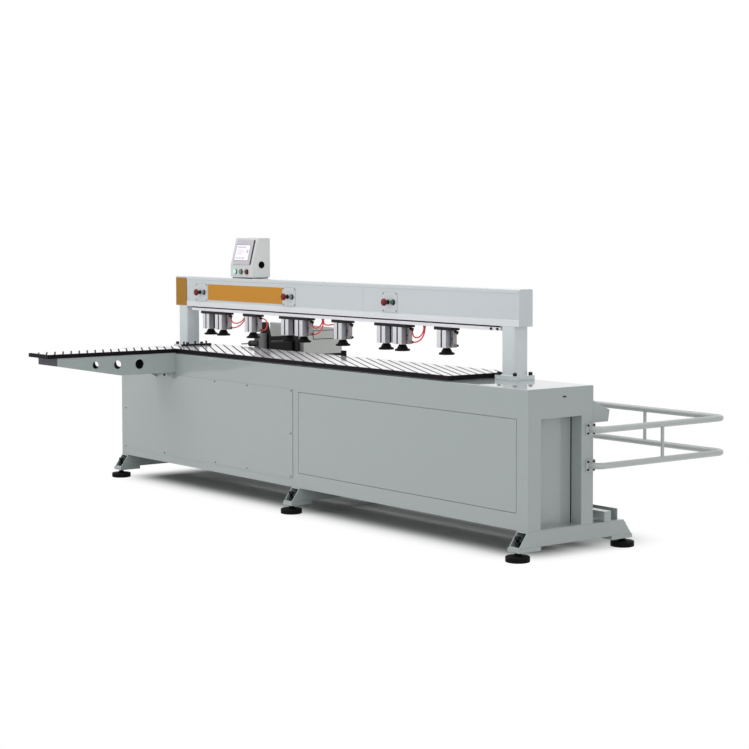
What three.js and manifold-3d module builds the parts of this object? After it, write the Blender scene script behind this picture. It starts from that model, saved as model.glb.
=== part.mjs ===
// Horizontal hole drilling machine for panel edges: a long cabinet with an L-shaped table, a
// gantry beam with pneumatic pressers, and a drilling head that travels behind the table.
// Millimetres, +Z up. X runs to the operator's right, Y to the rear, and the origin lies on the
// floor below the middle of the machine.
import * as THREE from 'three';
import { mergeVertices } from 'three/addons/utils/BufferGeometryUtils.js';
import Module from 'manifold-3d';

// General clearances and sheet sizes
const seatGap = 0.3;
const overrun = 5;
const thinSheet = 3;
const plate = 6;

// Cabinet: a welded box on three cross skids
const cabinetDepth = 456;
const cabinetHeight = 720;
const cabinetTopPlate = 12;
const cabinetEdgeRound = 7;
const midPostWidth = 55;
const padInset = 15;
const padHeight = 4.7;

// Open recess in each end of the cabinet
const recessDepth = 78;
const recessPlate = 5;
const recessFrontColumn = 88;
const recessRearColumn = 84;
const recessTopRail = 153;
const recessSill = 4;
const endSlotLength = 26;
const endSlotHeight = 10;
const endSlotDrop = 49;
const endSlotSetback = 251;

// Front door on the right and screwed cover on the left
const doorEndInset = 86;
const doorLength = 1904;
const doorTopRail = 153;
const doorSill = 86;
const doorGap = 3;
const doorLip = 15;
const doorLipSheet = 4;
const doorPanWidth = 24;
const coverEndInset = 45;
const coverTopGap = 17;
const coverSill = 50;
const coverLap = 25;
const coverMidGap = 55;

// Skids and levelling feet
const skidWidth = 80;
const skidHeight = 80;
const skidWall = 6;
const skidRearReach = 224;
const skidEndSlope = 58;
const padPlateThickness = 20;
const padPlateLength = 150;
const padPlateOverhang = 4;
const padPlateMargin = 3;
const footHeight = 50;
const footDiscRadius = 63;
const footDiscHeight = 30;
const footDiscEdge = 5;
const footGrooveDepth = 3;
const footGrooveHeight = 4;
const footHubRadius = 22;
const footHubHeight = 38;
const footStudRadius = 10;
const footStudRise = 70;
const footNutRadius = 17;
const footNutHeight = 11;
const footInset = 30;

// Chip guard over the travel rails and trough for the energy chain
const guardSheetTop = 81;
const guardSheetRise = 54;
const guardSheetGap = 16;
const guardLipDrop = 60;
const guardLipTuck = 12;
const troughSetback = 83;
const troughTubeWidth = 49;
const troughTubeHeight = 54;
const troughTubeWall = 3;
const troughBedWidth = 44;
const troughBackHeight = 62;

// Tubular guard rail round the rear of the machine
const railTubeRadius = 17;
const railStrutRadius = 9;
const railTopDrop = 227;
const railSpacing = 188;
const railFlangeSize = 62;
const railFlangeThickness = 6;
const railFlangeRearInset = 23;
const railSideReach = 60;
const railRearGap = 145;
const railSideBend = 48;
const railCornerBend = 62;
const railJointInset = 130;
const railStrutRearInset = 493;
const railStrutInset = 541;
const railScrewRadius = 5;
const railScrewHeight = 5;
const railScrewInset = 10;

// Table slab with diagonal wear strips, wing slab and its bracket
const tableRightGap = 27;
const tableLeftGap = 89;
const tableRearOverhang = 14;
const slabThickness = 25;
const stripRise = 1.5;
const stripBorder = 6;
const stripPitch = 50;
const stripGap = 5;
const stripAngle = THREE.MathUtils.degToRad(28.5);
const wingWidth = 256;
const wingReach = 920;
const rearStopInset = 1541;
const rearStopLength = 38;
const rearStopDepth = 14;
const rearStopHeight = 32;
const bracketNoseInset = 66;
const bracketNoseHeight = 50;
const bracketRootHeight = 128;
const bracketLevelLength = 403;
const bracketSideInset = 3;
const bracketFirstHole = 269;
const bracketHolePitch = 158;
const bracketHoleDrop = 62;
const bracketHoleRadius = 31;
const bracketHoleStep = 4;
const gussetLength = 90;
const gussetHeight = 43;
const gussetInset = 10;

// Stop bar with three pegs at the left end of the table
const stopBarInset = 72;
const stopBarSetback = 157;
const stopBarLength = 228;
const stopBarWidth = 16;
const stopBarHeight = 12;
const stopPegRadius = 6;
const stopPegHeight = 18;
const stopPegShares = [0.08, 0.46, 0.84];

// Gantry: beam on two flanged posts
const beamDepth = 100;
const beamHeight = 200;
const beamClearHeight = 255;
const beamRearInset = 135;
const beamRightInset = 424;
const beamLeftInset = 186;
const beamWall = 6;
const beamRound = 9;
const beamFaceDepth = 2;
const beamFaceFoot = 34;
const beamFaceHead = 22;
const beamSeamInset = 1360;
const beamSeamWidth = 2;
const postSide = 100;
const postWall = 6;
const postInset = 86;
const flangeLength = 164;
const flangeDepth = 150;
const flangeThickness = 24;
const flangeBoltInset = 19;
const boltHeadRadius = 9;
const boltHeadHeight = 12;
const boltSocketRadius = 4.5;
const boltSocketDepth = 6;

// Presser rail and six presser units: double, single, double, single, double, single
const presserLineInset = 31;
const presserRailRightGap = 13;
const presserRailLeftGap = 57;
const presserRailDepth = 56;
const presserRailThickness = 18;
const presserRailSpine = 30;
const presserRailDrop = 8;
const hosePortRadius = 10;
const hosePortHeight = 4;
const presserBarThickness = 17;
const presserBarDepth = 62;
const presserBarMargin = 76;
const presserPitch = 151;
const presserRunRightMargin = 493;
const presserRunLeftMargin = 324;
const presserRunLength = 2351;
const presserPlaceShares = [0, 0.181, 0.386, 0.589, 0.8, 1];
const cylindersPerUnit = [2, 1, 2, 1, 2, 1];
const loopUnit = 1;
const feedUnit = 2;
const cylinderSide = 80;
const cylinderLength = 98.5;
const cylinderCorner = 5;
const cylinderSlotWidth = 18;
const cylinderSlotDepth = 8;
const cylinderSlotLip = 3;
const cylinderSlotLipDepth = 2;
const valveBlockWidth = 22;
const valveBlockDepth = 24;
const valveBlockHeight = 92;
const valveBlockTopGap = 1;
const valveBlockSetback = 9;
const valveElbowRadius = 7;
const valveElbowReach = 25;
const valveElbowInset = 8.5;
const valveOutletRadius = 5.5;
const valveOutletDrop = 13;
const presserStroke = 70;
const presserRodRadius = 8;
const presserRodClearance = 0.4;
const presserRodHold = 20;
const footNeckRadius = 20;
const footNeckHeight = 5;
const footFlareRadius = 33;
const footFlareHeight = 23;
const footRimRadius = 44;
const footRimHeight = 11;
const footRimEdge = 2.5;

// Pneumatic hoses between the valve elbows and the ports under the presser rail
const hoseRadius = 3;
const hoseFirstPortOffset = 259;
const hosePortOffset = 199;
const hoseCollarRadius = 9;
const hoseCollarHeight = 6;
const hosePairSpread = 3.7;
const hoseFeedSpread = 5.6;
const hoseFirstUpperPull = 56;
const hoseMiddleUpperPull = 46;
const hoseLastUpperPull = 62;
const hoseLowerPull = 64;
const hosePortPull = 52;
const hoseFeedPull = 70;
const hoseLoopPull = 75;
const hoseSteps = 18;
const hoseSides = 6;

// Emergency stops and start buttons on the beam
const stationFirstInset = 316;
const stationPitch = 1010;
const stationCount = 3;
const stationHeight = 97;
const stationStopOffset = -14;
const stationStartOffset = 34;
const stopCapRadius = 20;
const stopCapEdge = 6;
const stopCapHeight = 14;
const stopNeckRadius = 11;
const stopNeckLength = 14;
const startCapRadius = 13;
const startCapLength = 12;
const startCapEdge = 2;
const buttonStemRadius = 8;
const buttonStemClearance = 0.5;
const buttonStemLength = 14;
const buttonTravel = 5;

// Control box on top of the beam
const boxLeftInset = 662;
const boxWidth = 251;
const boxDepth = 138;
const boxHeight = 259;
const boxKinkHeight = 79;
const boxTopDepth = 92;
const boxFrontInset = 6;
const boxSheet = 3;
const boxPlinthHeight = 7;
const boxPlinthInset = 8;
const screenWidth = 200;
const screenHeight = 158;
const screenRecess = 2;
const screenCorner = 8;
const boxButtonPitch = 65;
const boxButtonHeight = 42;
const boxButtonRadius = 12;
const boxButtonLength = 8;
const boxButtonTravel = 3;

// Travel rails at the rear and the carriage on them
const railBedEndInset = 175;
const railBedGuardGap = 15;
const railBedFootHeight = 180;
const railBedThickness = 10;
const travelRailWidth = 23;
const travelRailHeight = 22;
const travelRailWaist = 4;
const travelRailInset = 30;
const rackHeight = 24;
const rackDepth = 24;
const rackDrop = 15;
const bearingLength = 92;
const bearingHeight = 68;
const bearingDepth = 34;
const bearingLift = 8;
const bearingChannelDepth = 14.6;
const carriageWidth = 400;
const carriagePlate = 16;
const carriageCheek = 12;
const carriageTopGap = 7;
const carriageDrop = 87;
const carriageThroat = 20;
const carriageBackHeight = 42;
const carriageKneeReach = 170;
const carriageKneeHeight = 212;
const carriageBedPlate = 12;
const carriageCoverGap = 10;
const carriageCoverDepth = 320;
const coverFrontHeight = 205;
const coverRearHeight = 166;
const coverSheet = 3;
const coverFoldRound = 6;
const logoFrameLength = 160;
const logoFrameHeight = 66;
const logoFrameSetback = 82;
const logoFrameFoot = 102;
const logoFrameDepth = 1;

// Drilling unit: slide, motor, spindle block, chuck and twist drill
const spindleTableInset = 297;
const drillTipGap = 5.4;
const spindleHeight = 14;
const spindleFromCarriageSide = 70;
const feedRailSpread = 45;
const feedRailSide = 12;
const feedRailFrontInset = 5;
const feedRailRearInset = 5;
const feedShoeWidth = 30;
const feedShoeLength = 50;
const feedShoeLift = 3;
const feedBaseThickness = 12;
const feedBaseWidth = 120;
const feedBaseFrontInset = 65;
const feedBaseRearInset = 20;
const feedTravel = 60;
const headPlateInset = 9;
const headPlateThickness = 16;
const headPlateWidth = 110;
const headPlateNeck = 50;
const headPlateShoulder = 112;
const headPlateHeight = 202;
const motorSide = 76;
const motorLength = 170;
const motorChamfer = 12;
const motorFootGap = 3;
const driveBoxSide = 72;
const driveBoxLength = 75;
const driveBoxChamfer = 3;
const tieBarHeight = 30;
const tieBarThickness = 10;
const tieBarLift = 79;
const spindleBlockWidth = 56;
const spindleBlockDepth = 63;
const spindleBlockDrop = 36;
const spindleBlockRise = 63;
const spindleBlockChamfer = 3;
const spindleBlockSlot = 4;
const shaftRadius = 11;
const shaftClearance = 0.4;
const shaftNoseRadius = 14;
const shaftNoseLength = 13;
const chuckRadius = 17;
const chuckLength = 50;
const chuckTaper = 14;
const chuckFrontRadius = 10;
const chuckGroove = 1.5;
const drillRadius = 5;
const drillLength = 62;
const drillTipLength = 6;
const drillCoreRadius = 1.8;
const drillTurns = 2.2;
const drillSteps = 18;

// Roundness of turned and bent pieces
const turnedSides = 16;
const fineSides = 24;
const boltSides = 8;
const tubeSides = 8;
const bendSteps = 4;
const hexSides = 6;

// Finishes
const machineGrey = { color: 0xa9b0ae, roughness: 0.5, metalness: 0.1 };
const beamGrey = { color: 0xc8ced2, roughness: 0.45, metalness: 0.15 };
const boxGrey = { color: 0xd3d7d6, roughness: 0.5, metalness: 0.1 };
const slabWhite = { color: 0xe8e8ea, roughness: 0.2, metalness: 0 };
const blackPlate = { color: 0x17161a, roughness: 0.5, metalness: 0.2 };
const blackRubber = { color: 0x131314, roughness: 0.8, metalness: 0 };
const aluminium = { color: 0xb9bcbe, roughness: 0.35, metalness: 0.9 };
const brightSteel = { color: 0xa4a7aa, roughness: 0.3, metalness: 1 };
const stopRed = { color: 0xb01e22, roughness: 0.4, metalness: 0 };
const startGreen = { color: 0x2f7a55, roughness: 0.4, metalness: 0 };
const knobGrey = { color: 0x7d8083, roughness: 0.4, metalness: 0 };
const hoseRed = { color: 0xd8262a, roughness: 0.35, metalness: 0 };

// Places worked out from the sizes above
const presserRoom = presserRunLeftMargin + presserRunLength + presserRunRightMargin;
const beamLength = presserRoom + (postSide / 2 + postInset) * 2;
const cabinetLength = beamLeftInset + beamLength + beamRightInset;
const rightEnd = cabinetLength / 2;
const leftEnd = -rightEnd;
const skidBottom = footHeight + padPlateThickness;
const cabinetBottom = skidBottom + skidHeight;
const cabinetTop = cabinetBottom + cabinetHeight;
const slabBottom = cabinetTop + padHeight + seatGap;
const tableTop = slabBottom + slabThickness;
const bracketBottom = slabBottom - bracketRootHeight;
const coverBottom = cabinetBottom + coverSill;
const coverTop = bracketBottom - coverTopGap;
const doorBottom = cabinetBottom + doorSill;
const doorTop = cabinetTop - doorTopRail;
const railHigh = cabinetTop - railTopDrop;
const railLow = railHigh - railSpacing;
const tableRear = cabinetDepth + tableRearOverhang;
const beamRight = rightEnd - beamRightInset;
const beamLeft = beamRight - beamLength;
const postRight = beamRight - postInset;
const postLeft = beamLeft + postInset;
const tableRight = postRight - flangeLength / 2 - tableRightGap;
const tableLeft = postLeft + flangeLength / 2 + tableLeftGap;
const wingRight = tableLeft + wingWidth;
const beamFront = cabinetDepth - beamRearInset;
const beamBottom = tableTop + beamClearHeight;
const beamTop = beamBottom + beamHeight;
const beamMiddle = beamFront + beamDepth / 2;
const presserLine = beamFront + presserLineInset;
const presserRunRight = postRight - postSide / 2 - presserRunRightMargin;
const presserRailTop = beamBottom - presserRailDrop;
const presserRailBottom = presserRailTop - presserRailThickness;
const barTop = presserRailBottom - seatGap;
const barBottom = barTop - presserBarThickness;
const cylinderBottom = barBottom - cylinderLength;
const railBedBack = cabinetDepth + seatGap + railBedThickness;
const railBedBottom = cabinetBottom + railBedFootHeight;
const guardSheetHigh = cabinetTop - guardSheetTop;
const guardSheetBend = guardSheetHigh - guardSheetRise;
const guardSheetLip = guardSheetBend - guardLipDrop;
const railBedTop = guardSheetLip - railBedGuardGap;
const spindleX = tableLeft + spindleTableInset;
const spindleZ = tableTop + spindleHeight;
const carriageRight = spindleX + spindleFromCarriageSide;
const carriageLeft = carriageRight - carriageWidth;
const carriageFront = railBedBack + bearingLift + bearingDepth;
const carriageTop = tableTop - carriageDrop;
const spindleBlockFront = tableRear + drillTipGap + drillLength + chuckLength + shaftNoseLength + seatGap;
const headPlateFront = spindleBlockFront + spindleBlockDepth + seatGap;
const feedBaseFront = headPlateFront - headPlateInset;
const headPlateBack = headPlateFront + headPlateThickness;
const driveBack = headPlateBack + motorLength + driveBoxLength;
const feedBaseBack = driveBack - feedBaseRearInset;
const carriageNose = feedBaseFront - feedBaseFrontInset;
const carriageCoverFront = driveBack + carriageCoverGap;
const carriageBack = carriageCoverFront + carriageCoverDepth;
const guardRailRear = carriageBack + railRearGap;
const railFlangeMiddle = cabinetDepth - railFlangeRearInset;
const railStrutPlace = guardRailRear - railStrutRearInset;
const feedBaseBottom = carriageTop + carriageBedPlate + feedRailSide + seatGap;
const feedBaseTop = feedBaseBottom + feedBaseThickness;

const wasm = await Module();
wasm.setup();

const X_AXIS = new THREE.Vector3(1, 0, 0);
const Y_AXIS = new THREE.Vector3(0, 1, 0);
const Z_AXIS = new THREE.Vector3(0, 0, 1);

const machine = new THREE.Group();

/** Adds one named sub-part to the machine. */
function addPiece(name, shape, finish) {
  const geometry = shape.isBufferGeometry ? shape : geometryOf(shape);
  const mesh = new THREE.Mesh(geometry, new THREE.MeshStandardMaterial(finish));
  mesh.name = name;
  machine.add(mesh);
}

/** Makes a solid that can be joined and cut from a closed geometry. */
function solidOf(geometry) {
  const bare = geometry.clone();
  bare.deleteAttribute('normal');
  bare.deleteAttribute('uv');
  const merged = mergeVertices(bare);
  const { array } = merged.attributes.position;
  const mesh = new wasm.Mesh({ numProp: 3, vertProperties: array, triVerts: merged.index.array });
  return new wasm.Manifold(mesh);
}

/** Makes a geometry from a solid. */
function geometryOf(solid) {
  const mesh = solid.getMesh();
  const geometry = new THREE.BufferGeometry();
  geometry.setAttribute('position', new THREE.BufferAttribute(mesh.vertProperties, 3));
  geometry.setIndex(new THREE.BufferAttribute(mesh.triVerts, 1));
  geometry.computeVertexNormals();
  return geometry;
}

/** Joins solids into one. */
function join(...solids) {
  return solids.flat().reduce((whole, next) => whole.add(next));
}

/** Cuts every other solid out of the first. */
function cut(body, ...tools) {
  return tools.flat().reduce((rest, tool) => rest.subtract(tool), body);
}

/** A block between two opposite corners. */
function block(low, high) {
  const size = high.map((value, axis) => value - low[axis]);
  const geometry = new THREE.BoxGeometry(...size);
  geometry.translate(...high.map((value, axis) => (value + low[axis]) / 2));
  return solidOf(geometry);
}

/** A round bar of one radius from one point to another. */
function bar(radius, from, to, sides = boltSides) {
  const start = new THREE.Vector3(...from);
  const reach = new THREE.Vector3(...to).sub(start);
  const geometry = new THREE.CylinderGeometry(radius, radius, reach.length(), sides);
  geometry.applyQuaternion(new THREE.Quaternion().setFromUnitVectors(Y_AXIS, reach.clone().normalize()));
  geometry.translate(...start.addScaledVector(reach, 1 / 2));
  return solidOf(geometry);
}

/** A turned piece: outline points are [radius, height] from the foot, which stands at a point. */
function turned(outline, foot, direction, sides = turnedSides) {
  const geometry = new THREE.LatheGeometry(outline.map((point) => new THREE.Vector2(...point)), sides);
  geometry.applyQuaternion(new THREE.Quaternion().setFromUnitVectors(Y_AXIS, direction));
  geometry.translate(...foot);
  return solidOf(geometry);
}

/** A flat outline of [x, y] points as a shape. */
function outlineShape(points) {
  return new THREE.Shape(points.map((point) => new THREE.Vector2(...point)));
}

/** Extrudes a [y, z] outline along X between two places. */
function alongX(shape, from, to) {
  const geometry = new THREE.ExtrudeGeometry(shape, { depth: to - from, bevelEnabled: false, steps: 1 });
  geometry.applyMatrix4(new THREE.Matrix4().makeBasis(Y_AXIS, Z_AXIS, X_AXIS));
  geometry.translate(from, 0, 0);
  return solidOf(geometry);
}

/** Extrudes an [x, z] outline along Y between two places. */
function alongY(shape, from, to) {
  const geometry = new THREE.ExtrudeGeometry(shape, { depth: to - from, bevelEnabled: false, steps: 1 });
  geometry.applyMatrix4(new THREE.Matrix4().makeBasis(X_AXIS, Z_AXIS, Y_AXIS.clone().negate()));
  geometry.translate(0, to, 0);
  return solidOf(geometry);
}

/** Extrudes an [x, y] outline along Z between two heights. */
function alongZ(shape, from, to) {
  const geometry = new THREE.ExtrudeGeometry(shape, { depth: to - from, bevelEnabled: false, steps: 1 });
  geometry.translate(0, 0, from);
  return solidOf(geometry);
}

/** A rectangle from low to high with its four corners cut off at 45 degrees. */
function chamferedShape(low, high, chamfer) {
  const [x0, y0] = low;
  const [x1, y1] = high;
  return outlineShape([
    [x0 + chamfer, y0], [x1 - chamfer, y0], [x1, y0 + chamfer], [x1, y1 - chamfer],
    [x1 - chamfer, y1], [x0 + chamfer, y1], [x0, y1 - chamfer], [x0, y0 + chamfer],
  ]);
}

/** A tube's middle line with round bends, sampled only at its ends and in its bends. */
class BentTubePath extends THREE.Curve {
  constructor(corners, bends) {
    super();
    const points = corners.map((corner) => new THREE.Vector3(...corner));
    const last = points.length - 1;
    const ending = points[last].clone().sub(points[last - 1]).normalize();
    this.stations = [{ place: points[0], heading: points[1].clone().sub(points[0]).normalize() }];
    for (let index = 1; index < last; index += 1) {
      this.addBend(points[index - 1], points[index], points[index + 1], bends[index - 1]);
    }
    this.stations.push({ place: points[last], heading: ending });
  }

  addBend(before, corner, after, radius) {
    const entry = corner.clone().sub(before).normalize();
    const exit = after.clone().sub(corner).normalize();
    const turn = entry.angleTo(exit);
    const setback = radius * Math.tan(turn / 2);
    const inward = exit.clone().addScaledVector(entry, -exit.dot(entry)).normalize();
    const start = corner.clone().addScaledVector(entry, -setback);
    for (let step = 0; step <= bendSteps; step += 1) {
      const angle = (turn * step) / bendSteps;
      const place = start.clone()
        .addScaledVector(entry, radius * Math.sin(angle))
        .addScaledVector(inward, radius * (1 - Math.cos(angle)));
      const heading = entry.clone().multiplyScalar(Math.cos(angle)).addScaledVector(inward, Math.sin(angle));
      this.stations.push({ place, heading });
    }
  }

  stationAt(share) {
    return this.stations[Math.round(share * (this.stations.length - 1))];
  }

  getPoint(share) {
    return this.stationAt(share).place.clone();
  }

  getPointAt(share) {
    return this.getPoint(share);
  }

  getTangent(share) {
    return this.stationAt(share).heading.clone();
  }

  getTangentAt(share) {
    return this.getTangent(share);
  }
}

/** A round section of a tube or hose. */
function roundSection(radius, sides) {
  const points = Array.from({ length: sides }, (unused, index) => {
    const angle = (2 * Math.PI * index) / sides;
    return [radius * Math.cos(angle), radius * Math.sin(angle)];
  });
  return outlineShape(points);
}

/** A bent tube through corners, each with its own bend radius. */
function bentTube(radius, corners, bends) {
  const path = new BentTubePath(corners, bends);
  const steps = path.stations.length - 1;
  return solidOf(new THREE.ExtrudeGeometry(roundSection(radius, tubeSides), { steps, extrudePath: path }));
}

/** A socket cap screw's head standing on a face. */
function screwHead(radius, height, foot, direction) {
  const top = height - boltSocketDepth * (radius / boltHeadRadius);
  const socket = boltSocketRadius * (radius / boltHeadRadius);
  const outline = [[0, 0], [radius, 0], [radius, height], [socket, height], [socket, top], [0, top]];
  return turned(outline, foot, direction, boltSides);
}

/** Outline of the cabinet in side view, with its top edges rounded. */
function cabinetOutline(inset, top) {
  const round = cabinetEdgeRound;
  const shape = new THREE.Shape();
  shape.moveTo(inset, cabinetBottom + inset);
  shape.lineTo(cabinetDepth - inset, cabinetBottom + inset);
  shape.lineTo(cabinetDepth - inset, top - round);
  shape.quadraticCurveTo(cabinetDepth - inset, top, cabinetDepth - inset - round, top);
  shape.lineTo(inset + round, top);
  shape.quadraticCurveTo(inset, top, inset, top - round);
  return new THREE.Shape(shape.extractPoints(2).shape);
}

/** The welded cabinet: skins, middle post, end recesses and the machined pad for the table. */
function buildBaseFrame() {
  const skins = alongX(cabinetOutline(0, cabinetTop), leftEnd, rightEnd);
  const pad = block(
    [tableLeft + padInset, padInset, cabinetTop - overrun],
    [tableRight - padInset, cabinetDepth - padInset, cabinetTop + padHeight],
  );
  const endWall = recessDepth + recessPlate;
  const doorLeft = rightEnd - doorEndInset - doorLength;
  const coverSide = doorLeft - midPostWidth;
  const inside = [[leftEnd + endWall, coverSide + plate], [doorLeft - plate, rightEnd - endWall]];
  const hollows = inside.map(([from, to]) => block(
    [from, plate + doorLipSheet, cabinetBottom + plate],
    [to, cabinetDepth - plate, cabinetTop - cabinetTopPlate],
  ));
  const doorway = block(
    [doorLeft, -overrun, doorBottom],
    [rightEnd - doorEndInset, plate, doorTop],
  );
  const doorOpening = block(
    [doorLeft + doorLip, 0, doorBottom + doorLip],
    [rightEnd - doorEndInset - doorLip, plate + doorLipSheet + overrun, doorTop - doorLip],
  );
  const coverOpening = block(
    [leftEnd + coverEndInset + coverLap, -overrun, coverBottom + coverLap],
    [coverSide - coverLap, plate + doorLipSheet + overrun, coverTop - coverLap],
  );
  const recesses = [[rightEnd - recessDepth, rightEnd + overrun], [leftEnd - overrun, leftEnd + recessDepth]]
    .map(([from, to]) => block(
      [from, recessFrontColumn, cabinetBottom + recessSill],
      [to, cabinetDepth - recessRearColumn, cabinetTop - recessTopRail],
    ));
  const slot = block(
    [rightEnd - plate, endSlotSetback - endSlotLength / 2, cabinetTop - endSlotDrop - endSlotHeight / 2],
    [rightEnd + overrun, endSlotSetback + endSlotLength / 2, cabinetTop - endSlotDrop + endSlotHeight / 2],
  );
  const body = join(skins, pad);
  addPiece('base_frame', cut(body, hollows, doorway, doorOpening, coverOpening, recesses, slot), machineGrey);
}

/** The pressed door pan in the right doorway and the flat cover screwed on at the left. */
function buildFrontPanels() {
  const doorRight = rightEnd - doorEndInset - doorGap;
  const doorLeft = doorRight - doorLength + doorGap * 2;
  const low = doorBottom + doorGap;
  const high = doorTop - doorGap;
  const back = plate - seatGap;
  const pan = block([doorLeft, 0, low], [doorRight, back, high]);
  const hollow = block(
    [doorLeft + doorPanWidth, thinSheet, low + doorPanWidth],
    [doorRight - doorPanWidth, back + overrun, high - doorPanWidth],
  );
  addPiece('front_door_panel', cut(pan, hollow), machineGrey);

  const coverRight = rightEnd - doorEndInset - doorLength - coverMidGap;
  const coverLeft = leftEnd + coverEndInset;
  const cover = chamferedShape([coverLeft, coverBottom], [coverRight, coverTop], thinSheet);
  addPiece('front_cover_panel', alongY(cover, -seatGap - thinSheet, -seatGap), machineGrey);
}

/** One cross skid: a square tube with sloping ends and a welded plate under each end. */
function buildSkid(name, middle) {
  const rear = cabinetDepth + skidRearReach;
  const top = cabinetBottom - seatGap;
  const shape = outlineShape([
    [-skidEndSlope, skidBottom], [rear + skidEndSlope, skidBottom], [rear, top], [0, top],
  ]);
  const half = skidWidth / 2;
  const bore = block(
    [middle - half + skidWall, -skidEndSlope - overrun, skidBottom + skidWall],
    [middle + half - skidWall, rear + skidEndSlope + overrun, top - skidWall],
  );
  const feet = footPlaces();
  const plates = feet.map(({ outer, inner }) => block(
    [middle - half - padPlateMargin, Math.min(outer, inner), footHeight],
    [middle + half + padPlateMargin, Math.max(outer, inner), skidBottom + seatGap],
  ));
  const holes = feet.map(({ stud }) => bar(
    footStudRadius + seatGap * 2,
    [middle, stud, footHeight - overrun],
    [middle, stud, skidBottom + skidWall + overrun],
    turnedSides,
  ));
  const tube = cut(alongX(shape, middle - half, middle + half), bore);
  addPiece(name, cut(join(tube, plates), holes), machineGrey);
}

/** Where the pad plates and the studs lie along a skid. */
function footPlaces() {
  const front = -skidEndSlope - padPlateOverhang;
  const rear = cabinetDepth + skidRearReach + skidEndSlope + padPlateOverhang;
  return [
    { side: 'front', outer: front, inner: front + padPlateLength, stud: front + footInset },
    { side: 'rear', outer: rear, inner: rear - padPlateLength, stud: rear - footInset },
  ];
}

/** One levelling foot: rubber disc, hub, threaded stud and its two nuts. */
function buildFoot(name, x, y) {
  const groove = footDiscHeight / 2;
  const outline = [
    [0, 0],
    [footDiscRadius - footDiscEdge, 0],
    [footDiscRadius, footDiscEdge],
    [footDiscRadius, groove - footGrooveHeight / 2],
    [footDiscRadius - footGrooveDepth, groove],
    [footDiscRadius, groove + footGrooveHeight / 2],
    [footDiscRadius, footDiscHeight - footDiscEdge],
    [footDiscRadius - footDiscEdge, footDiscHeight],
    [footHubRadius, footDiscHeight],
    [footStudRadius + footDiscEdge, footHubHeight],
    [footStudRadius, footHubHeight],
    [footStudRadius, footHeight + footStudRise],
    [0, footHeight + footStudRise],
  ];
  const stud = turned(outline, [x, y, 0], Z_AXIS);
  const lower = footHeight - seatGap;
  const upper = skidBottom + skidWall + seatGap;
  const lowerNut = bar(footNutRadius, [x, y, lower - footNutHeight], [x, y, lower], hexSides);
  const upperNut = bar(footNutRadius, [x, y, upper], [x, y, upper + footNutHeight], hexSides);
  addPiece(name, join(stud, lowerNut, upperNut), blackRubber);
}

/** Three skids, each with a front and a rear foot. */
function buildUndercarriage() {
  const half = skidWidth / 2;
  const postMiddle = rightEnd - doorEndInset - doorLength - midPostWidth / 2;
  const skids = { right: rightEnd - half, middle: postMiddle, left: leftEnd + half };
  for (const [side, x] of Object.entries(skids)) {
    buildSkid(`skid_${side}`, x);
    for (const place of footPlaces()) {
      buildFoot(`levelling_foot_${place.side}_${side}`, x, place.stud);
    }
  }
}

/** The sloping sheet over the travel rails, closed at both ends. */
function buildChipGuard() {
  const top = guardSheetHigh;
  const near = cabinetDepth + seatGap;
  const far = carriageNose - guardSheetGap;
  const bend = guardSheetBend;
  const lip = guardSheetLip;
  const outer = outlineShape([[near, lip], [far - guardLipTuck, lip], [far, bend], [near, top]]);
  const inner = outlineShape([
    [near + thinSheet, lip - overrun],
    [far - guardLipTuck - thinSheet, lip - overrun],
    [far - guardLipTuck - thinSheet, lip],
    [far - thinSheet, bend - thinSheet],
    [near + thinSheet, top - thinSheet * 2],
  ]);
  const hollow = alongX(inner, leftEnd + thinSheet, rightEnd - thinSheet);
  addPiece('chip_guard', cut(alongX(outer, leftEnd, rightEnd), hollow), machineGrey);
}

/** The trough behind the cabinet: a square tube in front, a bed and a back wall. */
function buildChainTrough() {
  const front = cabinetDepth + troughSetback;
  const bed = cabinetBottom;
  const inner = front + troughTubeWidth;
  const back = inner + troughBedWidth;
  const shape = outlineShape([
    [front, bed], [back + thinSheet, bed], [back + thinSheet, bed + troughBackHeight],
    [back, bed + troughBackHeight], [back, bed + thinSheet], [inner, bed + thinSheet],
    [inner, bed + troughTubeHeight], [front, bed + troughTubeHeight],
  ]);
  const wall = troughTubeWall;
  shape.holes.push(outlineShape([
    [front + wall, bed + wall], [inner - wall, bed + wall],
    [inner - wall, bed + troughTubeHeight - wall], [front + wall, bed + troughTubeHeight - wall],
  ]));
  addPiece('chain_trough', alongX(shape, leftEnd, rightEnd), machineGrey);
}

/** One side of the guard rail: two flanged tubes that bend to the rear and round the corner. */
function buildSideGuard(name, end, outward) {
  const face = end + outward * seatGap;
  const side = end + outward * railSideReach;
  const joint = end - outward * railJointInset;
  const solids = [];
  for (const height of [railHigh, railLow]) {
    const corners = [
      [face, railFlangeMiddle, height], [side, railFlangeMiddle, height],
      [side, guardRailRear, height], [joint, guardRailRear, height],
    ];
    solids.push(bentTube(railTubeRadius, corners, [railSideBend, railCornerBend]));
    solids.push(railFlange(face, outward, height));
  }
  solids.push(bar(
    railStrutRadius,
    [side, railStrutPlace, railLow],
    [side, railStrutPlace, railHigh],
    tubeSides,
  ));
  addPiece(name, join(solids), beamGrey);
}

/** A square flange with four screws, flat on the cabinet's end. */
function railFlange(face, outward, height) {
  const half = railFlangeSize / 2;
  const outer = face + outward * railFlangeThickness;
  const flange = block(
    [Math.min(face, outer), railFlangeMiddle - half, height - half],
    [Math.max(face, outer), railFlangeMiddle + half, height + half],
  );
  const reach = half - railScrewInset;
  const screws = [];
  for (const [alongDepth, up] of [[-1, -1], [-1, 1], [1, -1], [1, 1]]) {
    const foot = [outer - outward * seatGap, railFlangeMiddle + alongDepth * reach, height + up * reach];
    screws.push(screwHead(railScrewRadius, railScrewHeight, foot, X_AXIS.clone().multiplyScalar(outward)));
  }
  return join(flange, screws);
}

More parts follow.
